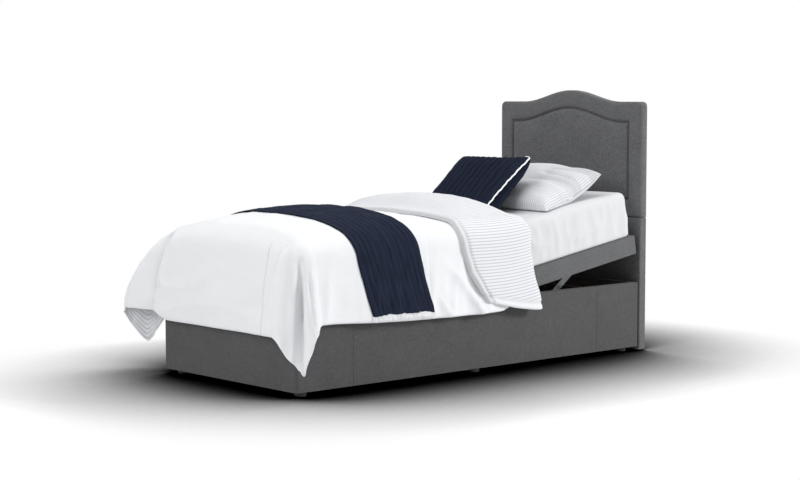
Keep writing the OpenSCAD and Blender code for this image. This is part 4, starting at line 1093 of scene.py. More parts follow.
@dataclass
class Headboard:
    """The padded headboard's upper panel with its sewn border."""

    finishes: Finishes
    width: float = 0.914
    front_y: float = 1.015
    thickness: float = 0.040
    shoulder_z: float = 1.155
    arch_rise: float = 0.054
    arch_half: float = 0.305
    seam_z: float = 0.620
    border: float = 0.083
    corner_r: float = 0.024
    edge_r: float = 0.013
    groove: float = 0.0140
    arc_points: int = 9
    top_points: int = 90
    side_points: int = 26

    def outline(self, inset: float) -> Array:
        """The panel's outline in x and z, drawn in by inset."""
        w = self.width / 2 - inset
        r = max(self.corner_r - inset, 0.006)
        low = self.seam_z + inset
        x_top = w - r
        half = self.arch_half + inset * 0.4

        def rise(x: Array) -> Array:
            """Height of the top edge at x."""
            wave = 0.5 + 0.5 * np.cos(np.pi * np.minimum(1, np.abs(x) / half))
            return self.shoulder_z - 1.14 * inset + (self.arch_rise + 0.12 * inset) * wave

        z_arc = float(rise(np.array(x_top))) - r
        arc = np.linspace(0, np.pi / 2, self.arc_points)
        right = np.stack([x_top + r * np.cos(arc), z_arc + r * np.sin(arc)], 1)
        x = np.linspace(x_top, -x_top, self.top_points + 2)[1:-1]
        top = np.stack([x, rise(x)], 1)
        left = np.stack([-x_top - r * np.sin(arc), z_arc + r * np.cos(arc)], 1)
        down = np.linspace(z_arc, low, self.side_points + 1)[1:]
        left_side = np.stack([np.full_like(down, -w), down], 1)
        x_low = np.linspace(-w, w, self.side_points * 2)[1:]
        base = np.stack([x_low, np.full_like(x_low, low)], 1)
        up = np.linspace(low, z_arc, self.side_points + 1)[1:-1]
        right_side = np.stack([np.full_like(up, w), up], 1)
        return np.concatenate([right, top, left, left_side, base, right_side])

    def profile(self) -> list[tuple[float, float]]:
        """Inset and depth behind the front plane of each ring, from the back to the middle."""
        r, b, g = self.edge_r, self.border, self.groove
        rings = [(0.0, self.thickness), (0.0, self.thickness * 0.6), (0.0, r)]
        turns = np.radians([20, 40, 60, 80])
        rings += [(r * (1 - math.cos(t)), r * (1 - math.sin(t))) for t in turns]
        rings += [(r, 0.0), (b * 0.4, -0.0005), (b * 0.75, 0.0), (b - 0.014, 0.0012)]
        steps = (-0.0105, -0.0075, -0.005, -0.0025, 0.0, 0.0025, 0.005, 0.0075, 0.0105)
        rings += [(b + x, g * math.exp(-((x / 0.0056) ** 2)) + 0.0012) for x in steps]
        rings += [(b + 0.015, 0.0008), (b + 0.03, 0.0), (b + 0.07, -0.0005), (b + 0.12, -0.001)]
        return rings

    def build(self) -> None:
        """Makes the panel in place of its solid."""
        rings = self.profile()
        points = []
        for inset, depth in rings:
            x, z = self.outline(inset).T
            y = np.full(len(x), self.front_y + max(depth, 0.0))
            points.append(np.stack([x, y, z], 1))
        faces = tube_faces(len(rings), len(points[0]))
        obj = new_mesh_object("headboard_panel", np.concatenate(points), faces)
        self.finishes.dress(obj, "headboard_fabric", "headboard_upper", fill=0.9)
        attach(obj, "base")


@dataclass
class Mattress:
    """The mattress in its fitted sheet, in three lengths cut at knee and seat, raised with the back
    over a soft bend at the hip.
    """

    finishes: Finishes
    shape: BedShape
    half_width: float = 0.448
    height: float = 0.2115
    bottom: float = 0.4065
    foot_y: float = -0.984
    head_y: float = 0.988
    end_r: float = 0.045
    row_step: float = 0.012
    hip_end: float = 0.31

    def ring(self, inset: float, top_r: float = 0.042, low_r: float = 0.016) -> tuple[Array, Array]:
        """Cross-section drawn in by inset: points in x and z, and the length along its edge."""
        w = self.half_width - inset
        top, low = self.bottom + self.height - inset, self.bottom + inset * 0.3
        rt, rl = max(top_r - inset, 0.012), max(low_r - inset * 0.3, 0.006)
        arc = np.linspace(0, np.pi / 2, 9)
        parts = [
            np.stack([np.full(14, w), np.linspace(low + rl, top - rt, 14)], 1),
            np.stack([w - rt + rt * np.cos(arc[1:]), top - rt + rt * np.sin(arc[1:])], 1),
            np.stack([np.linspace(w - rt, -w + rt, 42)[1:], np.full(41, top)], 1),
            np.stack([-w + rt - rt * np.sin(arc[1:]), top - rt + rt * np.cos(arc[1:])], 1),
            np.stack([np.full(13, -w), np.linspace(top - rt, low + rl, 14)[1:]], 1),
            np.stack([-w + rl - rl * np.cos(arc[1:]), low + rl - rl * np.sin(arc[1:])], 1),
            np.stack([np.linspace(-w + rl, w - rl, 20)[1:], np.full(19, low)], 1),
            np.stack([w - rl + rl * np.sin(arc[1:-1]), low + rl - rl * np.cos(arc[1:-1])], 1),
        ]
        points = np.concatenate(parts)
        step = np.linalg.norm(np.diff(points, axis=0, prepend=points[:1]), axis=1)
        return points, np.cumsum(step)

    def bent(self, points: Array) -> Array:
        """Turns points of the flat mattress to the raised back, over the hip's soft bend."""
        x, y, z = points.T
        angle = math.radians(self.shape.rise_deg)
        hinge_y, hinge_z = self.shape.hinge
        dy, dz = y - hinge_y, z - hinge_z
        turned_y = hinge_y + dy * math.cos(angle) - dz * math.sin(angle)
        turned_z = hinge_z + dy * math.sin(angle) + dz * math.cos(angle)
        w = ease(y / self.hip_end)[:, None]
        return points * (1 - w) + np.stack([x, turned_y, turned_z], axis=1) * w

    def rows(self, y0: float, y1: float) -> list[tuple[float, float]]:
        """Place and inset of each cross-section, rounded where the whole mattress ends."""
        r, turns = self.end_r, np.radians([18, 36, 54, 72, 90])
        rows = [(y0, 0.0)]
        if y0 == self.foot_y:
            rows = [(y0 + r * (1 - math.cos(t)), r * (1 - math.sin(t))) for t in (0.0, *turns)]
        start, stop = rows[-1][0], y1 - (r if y1 == self.head_y else 0.0)
        count = max(2, int((stop - start) / self.row_step))
        rows += [(y, 0.0) for y in np.linspace(start, stop, count)[1:]]
        if y1 == self.head_y:
            rows += [(y1 - r + r * math.sin(t), r * (1 - math.cos(t))) for t in turns]
        return rows

    def length(self, name: str, y0: float, y1: float) -> bpy.types.Object:
        """Makes one closed length of mattress with sheet creases.

        Args:
            name: The piece's name.
            y0: Foot end in the flat mattress.
            y1: Head end in the flat mattress.

        Returns:
            The piece.
        """
        rows = self.rows(y0, y1)
        points, uv = [], []
        for y, inset in rows:
            section, arc = self.ring(inset)
            x, z = section.T
            along = np.full(len(x), y)
            upright = np.clip((z - self.bottom) / self.height, 0, 1)
            side = ease((np.abs(x) - 0.40) / 0.045)
            streak = cloth_ridge(along / 0.060 + upright * 0.4, upright * 1.3 + 20, 31) * 0.0105
            streak += cloth_noise(along / 0.022 - upright * 0.5, upright * 1.6 + 3, 32) * 0.0032
            pull = np.sin(np.pi * upright) ** 0.7
            top = ease((upright - 0.93) / 0.07) * (1 - side)
            soft = cloth_noise(x / 0.10, along / 0.13, 33) * 0.0022
            grow = side * pull * streak - 0.003 * side * (1 - pull)
            x = x + np.sign(x) * (grow - 0.001 * side)
            points.append(np.stack([x, along, z + np.minimum(top * (soft - 0.002), 0)], 1))
            uv.append(np.stack([arc, along], 1))
        faces = tube_faces(len(rows), len(points[0]), flip=True)
        return new_mesh_object(name, self.bent(np.concatenate(points)), faces, np.concatenate(uv))

    def build(self) -> None:
        """Makes the three lengths and bakes each in place."""
        for part, y0, y1, bend, *nodes in (
            ("foot", self.foot_y, KNEE_CUT[0], Bend.KNEE, "mattress_calf"),
            ("middle", KNEE_CUT[1], SEAT_CUT[0], Bend.THIGH, "mattress_thigh"),
            ("head", SEAT_CUT[1], self.head_y, Bend.HIP, "mattress_seat", "mattress_back"),
        ):
            obj = self.length(f"mattress_{part}_length", y0, y1)
            self.finishes.dress(obj, "mattress_ticking", *nodes, fill=0.95)
            bend.blend(obj)


@dataclass
class Duvet:
    """The duvet: foot with its hanging corners, middle, and the turned-down head."""

    finishes: Finishes
    surface: DuvetSurface
    cell: float = 0.0115
    hem_t: float = 0.022
    corner_t: float = 0.007
    hem_band: float = 0.024
    lip_y: float = -0.150
    fold_y: float = 0.234
    fold_cut_y: float = -0.010
    layer: float = 0.027
    fill: float = 0.4

    def grid(self, b: Array) -> tuple[Array, Array]:
        """Cloth places of a grid from hem to hem.

        Args:
            b: Places along the bed; below the roll's start they are shares of the foot's drape.

        Returns:
            Places across the bed and places along the bed, each across by along.
        """
        p = self.surface.shape
        hang = np.linspace(0, 1, int(0.44 / self.cell) + 1)[1:]
        top = np.linspace(-1, 1, int(2 * p.top_half / self.cell) | 1)
        top = np.unique(np.round(np.concatenate([top, np.linspace(0.670, 0.790, 17)]), 4))
        u, v = np.meshgrid(np.concatenate([-1 - hang[::-1], top, 1 + hang]), b, indexing="ij")
        side = p.side_drape(np.maximum(v, p.roll_y))
        past = np.maximum(np.abs(u) - 1, 0) * side
        a = np.sign(u) * (np.minimum(np.abs(u), 1) * p.top_half + past)
        return a, np.where(v < p.roll_y, p.roll_y + (v - p.roll_y) * p.foot_drape(a), v)

    def inner_side(
        self, outer: Array, normal: Array, a: Array, b: Array, under: Array | None = None
    ) -> Array:
        """The side that lies on the mattress or hangs free, for a grid of outer points."""
        p = self.surface.shape
        s, f = p.hanging(a, b)
        rho = np.hypot(s, f)
        corner = ease(s / 0.12) * ease(f / 0.12)
        thickness = self.hem_t - (self.hem_t - self.corner_t) * corner
        free = outer - normal * thickness[..., None]
        rest = p.bed_z(outer[..., 1]) + 0.0006 if under is None else under
        rest = np.minimum(rest, outer[..., 2] - 0.002)
        lying = np.stack([outer[..., 0], outer[..., 1], rest], -1)
        w = ease((rho - 0.004) / 0.05)[..., None]
        inner = lying * (1 - w) + free * w
        low = inner[..., 2] < 0.4075
        wide = np.where(low, p.side_in, p.side_in - 0.005)
        long = np.where(low, p.foot_in, p.foot_in - 0.030)
        deep_x, deep_y = wide - np.abs(inner[..., 0]), inner[..., 1] + long
        inside = (deep_x > 0) & (deep_y > 0) & (rho > 0.05) & (inner[..., 2] < 0.617)
        by_side = inside & (deep_x <= deep_y)
        inner[..., 0] = np.where(by_side, np.where(a < 0, -wide, wide), inner[..., 0])
        inner[..., 1] = np.where(inside & ~by_side, -long, inner[..., 1])
        return inner

    def length(self, name: str, b: Array, taper_head: float = 0.0) -> bpy.types.Object:
        """Makes one closed length of duvet over the cloth places b, thinned over taper_head."""
        a_grid, b_grid = self.grid(b)
        outer, normal = self.surface.points(a_grid, b_grid)
        inner = self.inner_side(outer, normal, a_grid, b_grid)
        if taper_head > 0:
            thin = 1 - 0.9 * ease((b_grid - (b[-1] - taper_head)) / taper_head)[..., None]
            outer = inner + (outer - inner) * thin
        # The outer side carries the painted fold shade; the inner side carries none.
        zeros, dark = np.zeros(a_grid.shape), self.surface.fold_shade(a_grid, b_grid)
        masks = {"lining_and_rib_shade": (zeros, zeros + 1), "fold_shade": (dark, zeros)}
        return padded_skin(name, outer, inner, np.stack([a_grid, b_grid], -1), masks)

    def turned_down(self) -> list[bpy.types.Object]:
        """Makes the turned-down head: a lip at the foot side and a full fold at the head side."""
        p = self.surface.shape
        half = p.top_half
        sigma = np.linspace(-1, 1, 2 * int((half + 0.45) / self.cell) + 1)
        t = np.concatenate([
            0.036 * (1 - np.cos(np.linspace(0, np.pi / 2, 8))),
            np.linspace(0.036, 0.80, 44)[1:],
            0.80 + 0.20 * np.sin(np.linspace(0, np.pi / 2, 18))[1:],
        ])
        g_sigma, g_t = np.meshgrid(sigma, t, indexing="ij")
        drape = 0.405 + 0.085 * g_t
        total = half + drape
        a = g_sigma * total
        s = np.maximum(0, np.abs(a) - half)
        lip = smooth_curve(s, [
            (0, self.lip_y), (0.10, -0.158), (0.20, -0.145), (0.28, -0.115), (0.36, -0.065),
            (0.42, -0.020), (0.50, 0.0),
        ])
        head = smooth_curve(np.abs(a), [
            (0, self.fold_y), (0.28, self.fold_y), (0.391, 0.250), (0.47, 0.262), (0.55, 0.264),
            (0.64, 0.266), (0.741, 0.282), (0.821, 0.304), (0.911, 0.312),
        ])
        y = lip + (head - lip) * g_t
        bump = smooth_curve(g_t, [
            (0, 0), (0.12, 0.02), (0.22, 0.14), (0.34, 0.52), (0.46, 0.86), (0.56, 0.98),
            (0.70, 1.0), (0.86, 0.93), (1.0, 0.8),
        ])
        centre = np.minimum(1, np.abs(a + 0.10) / (half + 0.09))
        plain = self.surface.plain(a, y, self.layer)
        plain[..., 2] += 0.055 * bump * (1 - centre**3.2)
        normal = grid_normals(plain)
        distance, to_hem = y - lip, total - np.abs(a)
        creases = 0.0030 * cloth_noise(a / 0.16, y / 0.19, 41)
        creases = creases + 0.0011 * cloth_noise((a + y) / 0.05, y / 0.04, 42)
        folds = 0.0035 * cloth_noise((y * 0.6 + s) / 0.055, y / 0.25, 43) * ease(s / 0.1)
        groove = -0.0085 * np.exp(-(((distance - 0.031) / 0.0052) ** 2))
        groove -= 0.0060 * np.exp(-(((to_hem - self.hem_band) / 0.0050) ** 2))
        pucker = np.exp(-(((distance - 0.018) / 0.02) ** 2))
        pucker = 0.0011 * cloth_noise(a / 0.016, distance / 0.03, 44) * pucker
        outer = plain + normal * (creases + folds + groove + pucker)[..., None]
        under = self.surface.plain(a, y, 0.0)[..., 2] + 0.004
        past = ease((y - 0.10) / 0.05)
        rest = under * (1 - past) + (p.bed_z(y) + 0.0008) * past
        inner = self.inner_side(outer, normal, a, y, rest)
        lip_round = np.sqrt(np.clip(1 - (1 - np.clip(g_t / 0.036, 0, 1)) ** 2, 0, 1)) * 0.9 + 0.1
        tau = np.clip((g_t - 0.80) / 0.20, 0, 1)
        head_round = np.sqrt(np.clip(1 - tau**2, 0, 1)) * 0.96 + 0.04
        outer = inner + (outer - inner) * (lip_round * head_round)[..., None]
        lining_and_rib_shade = ease((distance - 0.030) / 0.004) * ease((to_hem - self.hem_band) / 0.003)
        uv = np.stack([a, y], -1)
        # Painted shade, though named seam: dark in the groove of the seam beside the lip and in the
        # hem band's groove, grey over the lip's roll, darkest along the lip's contact line.
        seam = 0.75 * np.exp(-(((distance - 0.031) / 0.0042) ** 2))
        seam += (
            0.35 * np.exp(-(((to_hem - self.hem_band) / 0.0040) ** 2))
            + 0.28 * ease((0.030 - distance) / 0.01)
            + 0.45 * ease((0.011 - distance) / 0.009)
        )
        seam = np.clip(seam, 0, 1)
        masks = {"lining_and_rib_shade": (lining_and_rib_shade, np.zeros(a.shape)), "fold_shade": (seam, np.zeros(a.shape))}
        obj = padded_skin("duvet_turned_down", outer, inner, uv, masks, rounds=2)
        return cut_at_y(obj, self.fold_cut_y, ("duvet_turned_lip", "duvet_turned_fold"))
    def build(self) -> None:
        """Makes every length and bakes each in place."""
        roll_y = self.surface.shape.roll_y
        hang = np.linspace(1, 0, int(0.46 / self.cell) + 1)[:-1]
        top = np.linspace(roll_y, KNEE_CUT[0], int((KNEE_CUT[0] - roll_y) / self.cell))
        foot = self.length("duvet_foot_length", np.concatenate([roll_y - hang, top]))
        middle_b = np.linspace(KNEE_CUT[1], 0.125, 42)
        middle = self.length("duvet_middle_length", middle_b, taper_head=0.06)
        lip, fold = self.turned_down()
        for part, bend, *nodes in (
            (foot, Bend.KNEE, "duvet_foot"),
            (middle, Bend.THIGH, "duvet_middle"),
            (lip, Bend.THIGH),
            (fold, Bend.HIP, "duvet_turn_down"),
        ):
            self.finishes.dress(part, "duvet_cotton", *nodes, fill=self.fill)
            bend.blend(part)


@dataclass
class Runner:
    """The quilted runner across the duvet, with a short fringe on both ends."""

    finishes: Finishes
    surface: DuvetSurface
    foot_y: float = -0.757
    head_y: float = -0.425
    drape: float = 0.400
    drape_less: float = 0.014
    swing: float = 0.24
    thickness: float = 0.0045
    ribs: int = 12
    rib_h: float = 0.0030
    under: float = 0.0012
    fringe_l: float = 0.026
    fringe_lean: float = 0.50
    fringe_pitch: float = 0.0042
    fringe_sway: float = 0.09
    fringe_points: int = 60

    def half(self, t: Array | float) -> Array | float:
        """Half the runner's length, a little less at its foot edge."""
        return self.surface.shape.top_half + self.drape - self.drape_less * (1 - t)

    def edge_shift(self, s: Array) -> Array:
        """How far the hanging end swings towards the head."""
        return self.swing * s

    def build(self) -> None:
        """Makes the runner and its fringe."""
        p = self.surface.shape
        across, along = np.linspace(-1, 1, 171), np.linspace(0, 1, 8 * self.ribs + 1)
        share, t = np.meshgrid(across, along, indexing="ij")
        a = share * self.half(t)
        s = np.maximum(0, np.abs(a) - p.top_half)
        y = self.foot_y + (self.head_y - self.foot_y) * t + self.edge_shift(s)
        outer, normal = self.surface.points(a, y)
        wobble = 0.02 * cloth_noise(a / 0.10, t * 5, 51)
        rib = np.abs(np.sin(np.pi * self.ribs * (t + wobble * np.sin(np.pi * t) * 0.5))) ** 0.65
        crush = 0.0016 * cloth_noise(a / 0.035, t * self.ribs, 52)
        raised = outer + normal * (self.thickness + self.rib_h * rib + crush * rib)[..., None]
        low = outer + normal * self.under
        uv = np.stack([a, t * (self.head_y - self.foot_y)], -1)
        # Painted shade mask for the rib valleys, on the outer side only.
        rib_valley_shade = ease((0.42 - rib) / 0.42)
        masks = {"lining_and_rib_shade": (rib_valley_shade, rib_valley_shade * 0)}
        obj = padded_skin("runner_cloth", raised, low, uv, masks, rounds=2)
        self.finishes.dress(obj, "runner_quilt", "runner")
        Bend.KNEE.blend(obj)
        fringes = [self.fringe(side) for side in (-1, 1)]

    def fringe(self, side: int) -> bpy.types.Object:
        """Makes the fringe of one end with Geometry Nodes, as strands along the hem."""
        t = np.linspace(0, 1, self.fringe_points)
        a = side * np.stack([self.half(t) - 0.004, self.half(t)])
        s = np.abs(a) - self.surface.shape.top_half
        y = self.foot_y + (self.head_y - self.foot_y) * np.stack([t, t]) + self.edge_shift(s)
        grid, _ = self.surface.points(a, y, creased=False)
        hem = grid[1] + np.array([side * 0.0085, 0.0, 0.003])
        edges = [(i, i + 1) for i in range(len(hem) - 1)]
        line = new_mesh_object("fringe_line", hem, edges=edges, closed=False)
        strand = self.strand(side)
        inputs = {"Geometry": GEOMETRY, "Pitch": FLOAT, "Sway": FLOAT, "Cloth": MATERIAL}
        outputs = {"Geometry": GEOMETRY}
        g, given, end = new_group("fringe_strands", inputs, outputs, "GeometryNodeTree")
        curve = g.node("GeometryNodeMeshToCurve", {"Mesh": given["Geometry"]}).outputs["Curve"]
        inputs = {"Curve": curve, "Length": given["Pitch"]}
        spaced = g.node("GeometryNodeResampleCurve", inputs, mode="LENGTH").outputs["Curve"]
        thread = g.node("GeometryNodeObjectInfo", {"Object": strand}).outputs["Geometry"]
        limits = (g.math("MULTIPLY", given["Sway"], -1.0), given["Sway"])
        low, high = (
            g.node("ShaderNodeCombineXYZ", {0: limit, 1: limit, 2: limit}).outputs[0]
            for limit in limits
        )
        inputs = {0: low, 1: high, "Seed": 7}
        turn = g.node("FunctionNodeRandomValue", inputs, data_type="FLOAT_VECTOR").outputs[0]
        inputs = {2: 0.88, 3: 1.08, "Seed": 9}
        size = g.node("FunctionNodeRandomValue", inputs, data_type="FLOAT").outputs[1]
        inputs = {"Points": spaced, "Instance": thread, "Rotation": turn, "Scale": size}
        placed = g.node("GeometryNodeInstanceOnPoints", inputs).outputs["Instances"]
        real = g.node("GeometryNodeRealizeInstances", {"Geometry": placed}).outputs["Geometry"]
        inputs = {"Geometry": real, "Material": given["Cloth"]}
        g.feed(end, {"Geometry": g.node("GeometryNodeSetMaterial", inputs).outputs["Geometry"]})
        modifier = line.modifiers.new("strands", "NODES")
        modifier.node_group = g.tree
        names = {s.name: s.identifier for s in g.tree.interface.items_tree if s.in_out == "INPUT"}
        modifier[names["Pitch"]] = self.fringe_pitch
        modifier[names["Sway"]] = self.fringe_sway
        modifier[names["Cloth"]] = self.finishes.by_slot["piping"]
        line.update_tag()
        depsgraph = bpy.context.evaluated_depsgraph_get()
        mesh = bpy.data.meshes.new_from_object(line.evaluated_get(depsgraph))
        piece = add_object("runner_fringe_left" if side < 0 else "runner_fringe_right", mesh)
        for helper in (line, strand):
            bpy.data.objects.remove(helper)
        Bend.KNEE.blend(piece)
        log.info("%s: %d faces", piece.name, len(mesh.polygons))
        return piece

    def strand(self, side: int) -> bpy.types.Object:
        """Makes one hanging strand of four short lengths, which leans out with the cloth."""
        rows, sides = 4, 5
        points = []
        for k in range(rows + 1):
            r = 0.0020 * (1.0 if k < rows else 0.6)
            bow = 0.0007 * math.sin(k * 1.7)
            out = side * self.fringe_lean * self.fringe_l * k / rows
            for angle in (2 * math.pi * q / sides for q in range(sides)):
                x, y = r * math.cos(angle) + bow + out, r * math.sin(angle)
                points.append((x, y, -self.fringe_l * k / rows))
        uv = np.array([(x, z) for x, _, z in points])
        return new_mesh_object("fringe_strand", np.array(points), tube_faces(rows + 1, sides), uv)


@dataclass(frozen=True)
class Stuffing:
    """Swells and crumples a closed cloth form with a short cloth simulation.

    It takes the air's pressure, the furthest that a point may move, the shrinking and the frames.
    """

    pressure: float
    cap: float
    shrink: float
    frames: int = 16
    settings = {
        "quality": 5,
        "mass": 0.3,
        "tension_stiffness": 25,
        "compression_stiffness": 25,
        "shear_stiffness": 8,
        "bending_stiffness": 0.8,
        "air_damping": 6,
        "use_pressure": True,
    }

    def run(self, obj: bpy.types.Object, floor_z: float = -math.inf) -> None:
        """Runs the simulation and keeps its result in the mesh.

        Args:
            obj: The piece, at the origin.
            floor_z: Height that no point goes under.
        """
        before = read_rows(obj.data.vertices)
        modifier = obj.modifiers.new("swell", "CLOTH")
        cloth = modifier.settings
        for key, value in self.settings.items():
            setattr(cloth, key, value)
        cloth.uniform_pressure_force = self.pressure
        cloth.shrink_min = self.shrink
        cloth.effector_weights.gravity = 0
        modifier.collision_settings.use_collision = False
        modifier.collision_settings.use_self_collision = False
        scene = bpy.context.scene
        modifier.point_cache.frame_start = 1
        modifier.point_cache.frame_end = self.frames
        for number in range(1, self.frames + 1):
            scene.frame_set(number)
        evaluated = obj.evaluated_get(bpy.context.evaluated_depsgraph_get())
        move = read_rows(evaluated.to_mesh().vertices) - before
        evaluated.to_mesh_clear()
        obj.modifiers.remove(modifier)
        scene.frame_set(1)
        size = np.linalg.norm(move, axis=1, keepdims=True)
        move *= np.minimum(1.0, self.cap / np.maximum(size, TINY))
        result = before + move
        result[:, 2] = np.maximum(result[:, 2], floor_z)
        write_points(obj, result)
        furthest = 1000 * float(np.linalg.norm(move, axis=1).max())
        log.info("%s: moved %.1f mm at most", obj.name, furthest)


@dataclass(frozen=True)
class StuffedForm:
    """A pillow or cushion: two crowned faces that meet in a seam."""

    width: float
    height: float
    thickness: float
    top_share: float
    drawn_in: float
    steps: tuple[int, int]
    fullness: float = 0.45
    seam_half: float = 0.0022

    def grid(self) -> tuple[Array, Array]:
        """Grid places from -1 to 1, drawn together towards the seam."""
        even = [np.linspace(-1, 1, n) for n in self.steps]
        drawn = [np.sin(np.pi / 2 * n) * 0.55 + n * 0.45 for n in even]
        return np.meshgrid(*drawn, indexing="ij")

    def plump(self, u: Array, v: Array) -> Array:
        """Share of the thickness at each place."""
        return ((1 - np.abs(u) ** 3.4) * (1 - np.abs(v) ** 3.4)) ** self.fullness

    def seam(self, u: Array, v: Array) -> tuple[Array, Array]:
        """Places in the plane of the seam, its sides drawn in between the corners."""
        x = self.width / 2 * u * (1 - self.drawn_in * (1 - v**2))
        y = self.height / 2 * v * (1 - self.drawn_in * (1 - u**2))
        return x, y


@dataclass
class Pillow:
    """The pillow in its striped case, lying on the raised back with its head end lifted."""

    finishes: Finishes
    shape: BedShape
    form: StuffedForm = StuffedForm(0.776, 0.372, 0.128, 0.68, 0.05, (84, 56))
    middle_y: float = 0.675
    low: float = 0.004
    high: float = 0.096
    clearance: float = 0.0008

    def build(self) -> None:
        """Makes the pillow and swells it."""
        form, bed_z = self.form, self.shape.mattress_top
        u, v = form.grid()
        x, y = form.seam(u, v)
        seam_z = self.low + (self.high - self.low) * ((v + 1) / 2) ** 2.2
        plump = form.plump(u, v)
        dent = 1 - 0.10 * np.exp(-((u / 0.5) ** 2 + ((v + 0.1) / 0.6) ** 2))
        top = seam_z + form.seam_half + form.top_share * form.thickness * plump * dent
        under = seam_z - form.seam_half - (1 - form.top_share) * form.thickness * plump
        near = ease((u - 0.35) / 0.6)
        open_end = 1 - ease((np.abs(v) - 0.9) / 0.1)
        gather = 1.6 * cloth_noise(v * 5.5 + 2, u * 1.5, 61) * near * plump * open_end
        ends = ease((np.abs(u) - 0.55) / 0.4) * plump
        pleats = 0.007 * gather + 0.004 * ends * cloth_noise(v * 11, u * 2.5, 62)
        top = top + pleats
        under = np.maximum(under + 0.5 * pleats, self.clearance)
        outer = np.stack([x, y + self.middle_y, top + bed_z], -1)
        inner = np.stack([x, y + self.middle_y, under + bed_z], -1)
        step = np.hypot(np.diff(x, axis=0), np.diff(top, axis=0))
        arc = np.concatenate([np.zeros((1, x.shape[1])), np.cumsum(step, axis=0)])
        uv = np.stack([arc - arc[len(arc) // 2], y], -1)
        ones = np.ones(u.shape)
        fan = cloth_ridge(v * 4.2 - 1.3 * u + 4, u * 1.1 + 2, 63)
        fan = fan * ease((np.abs(u) - 0.2) / 0.4) * ease((v + 0.5) / 0.5)
        # Painted shade in the pleat grooves, kept in fold_shade.
        dark = np.clip(fan * 1.3, 0, 1) * 0.55
        masks = {"lining_and_rib_shade": (ones, ones), "fold_shade": (dark, 0 * ones)}
        obj = padded_skin("pillow_case", outer, inner, uv, masks, rounds=1)
        Stuffing(pressure=1.2, cap=0.012, shrink=-0.03).run(obj, bed_z + self.clearance)
        points = read_rows(obj.data.vertices)
        points[: u.size, 2] -= (0.014 * fan * ease(plump * 1.5)).ravel()
        write_points(obj, points)
        self.raise_with_back(obj)
        self.finishes.dress(obj, "pillow_cotton", "pillow", fill=0.6)
        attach(obj, "back")

    def raise_with_back(self, obj: bpy.types.Object) -> None:
        """Turns a piece made on the flat back to the raised one."""
        hinge = Vector((0, *self.shape.hinge))
        turn = Matrix.Rotation(math.radians(self.shape.rise_deg), 4, "X")
        obj.data.transform(Matrix.Translation(hinge) @ turn @ Matrix.Translation(-hinge))
        obj.data.update()


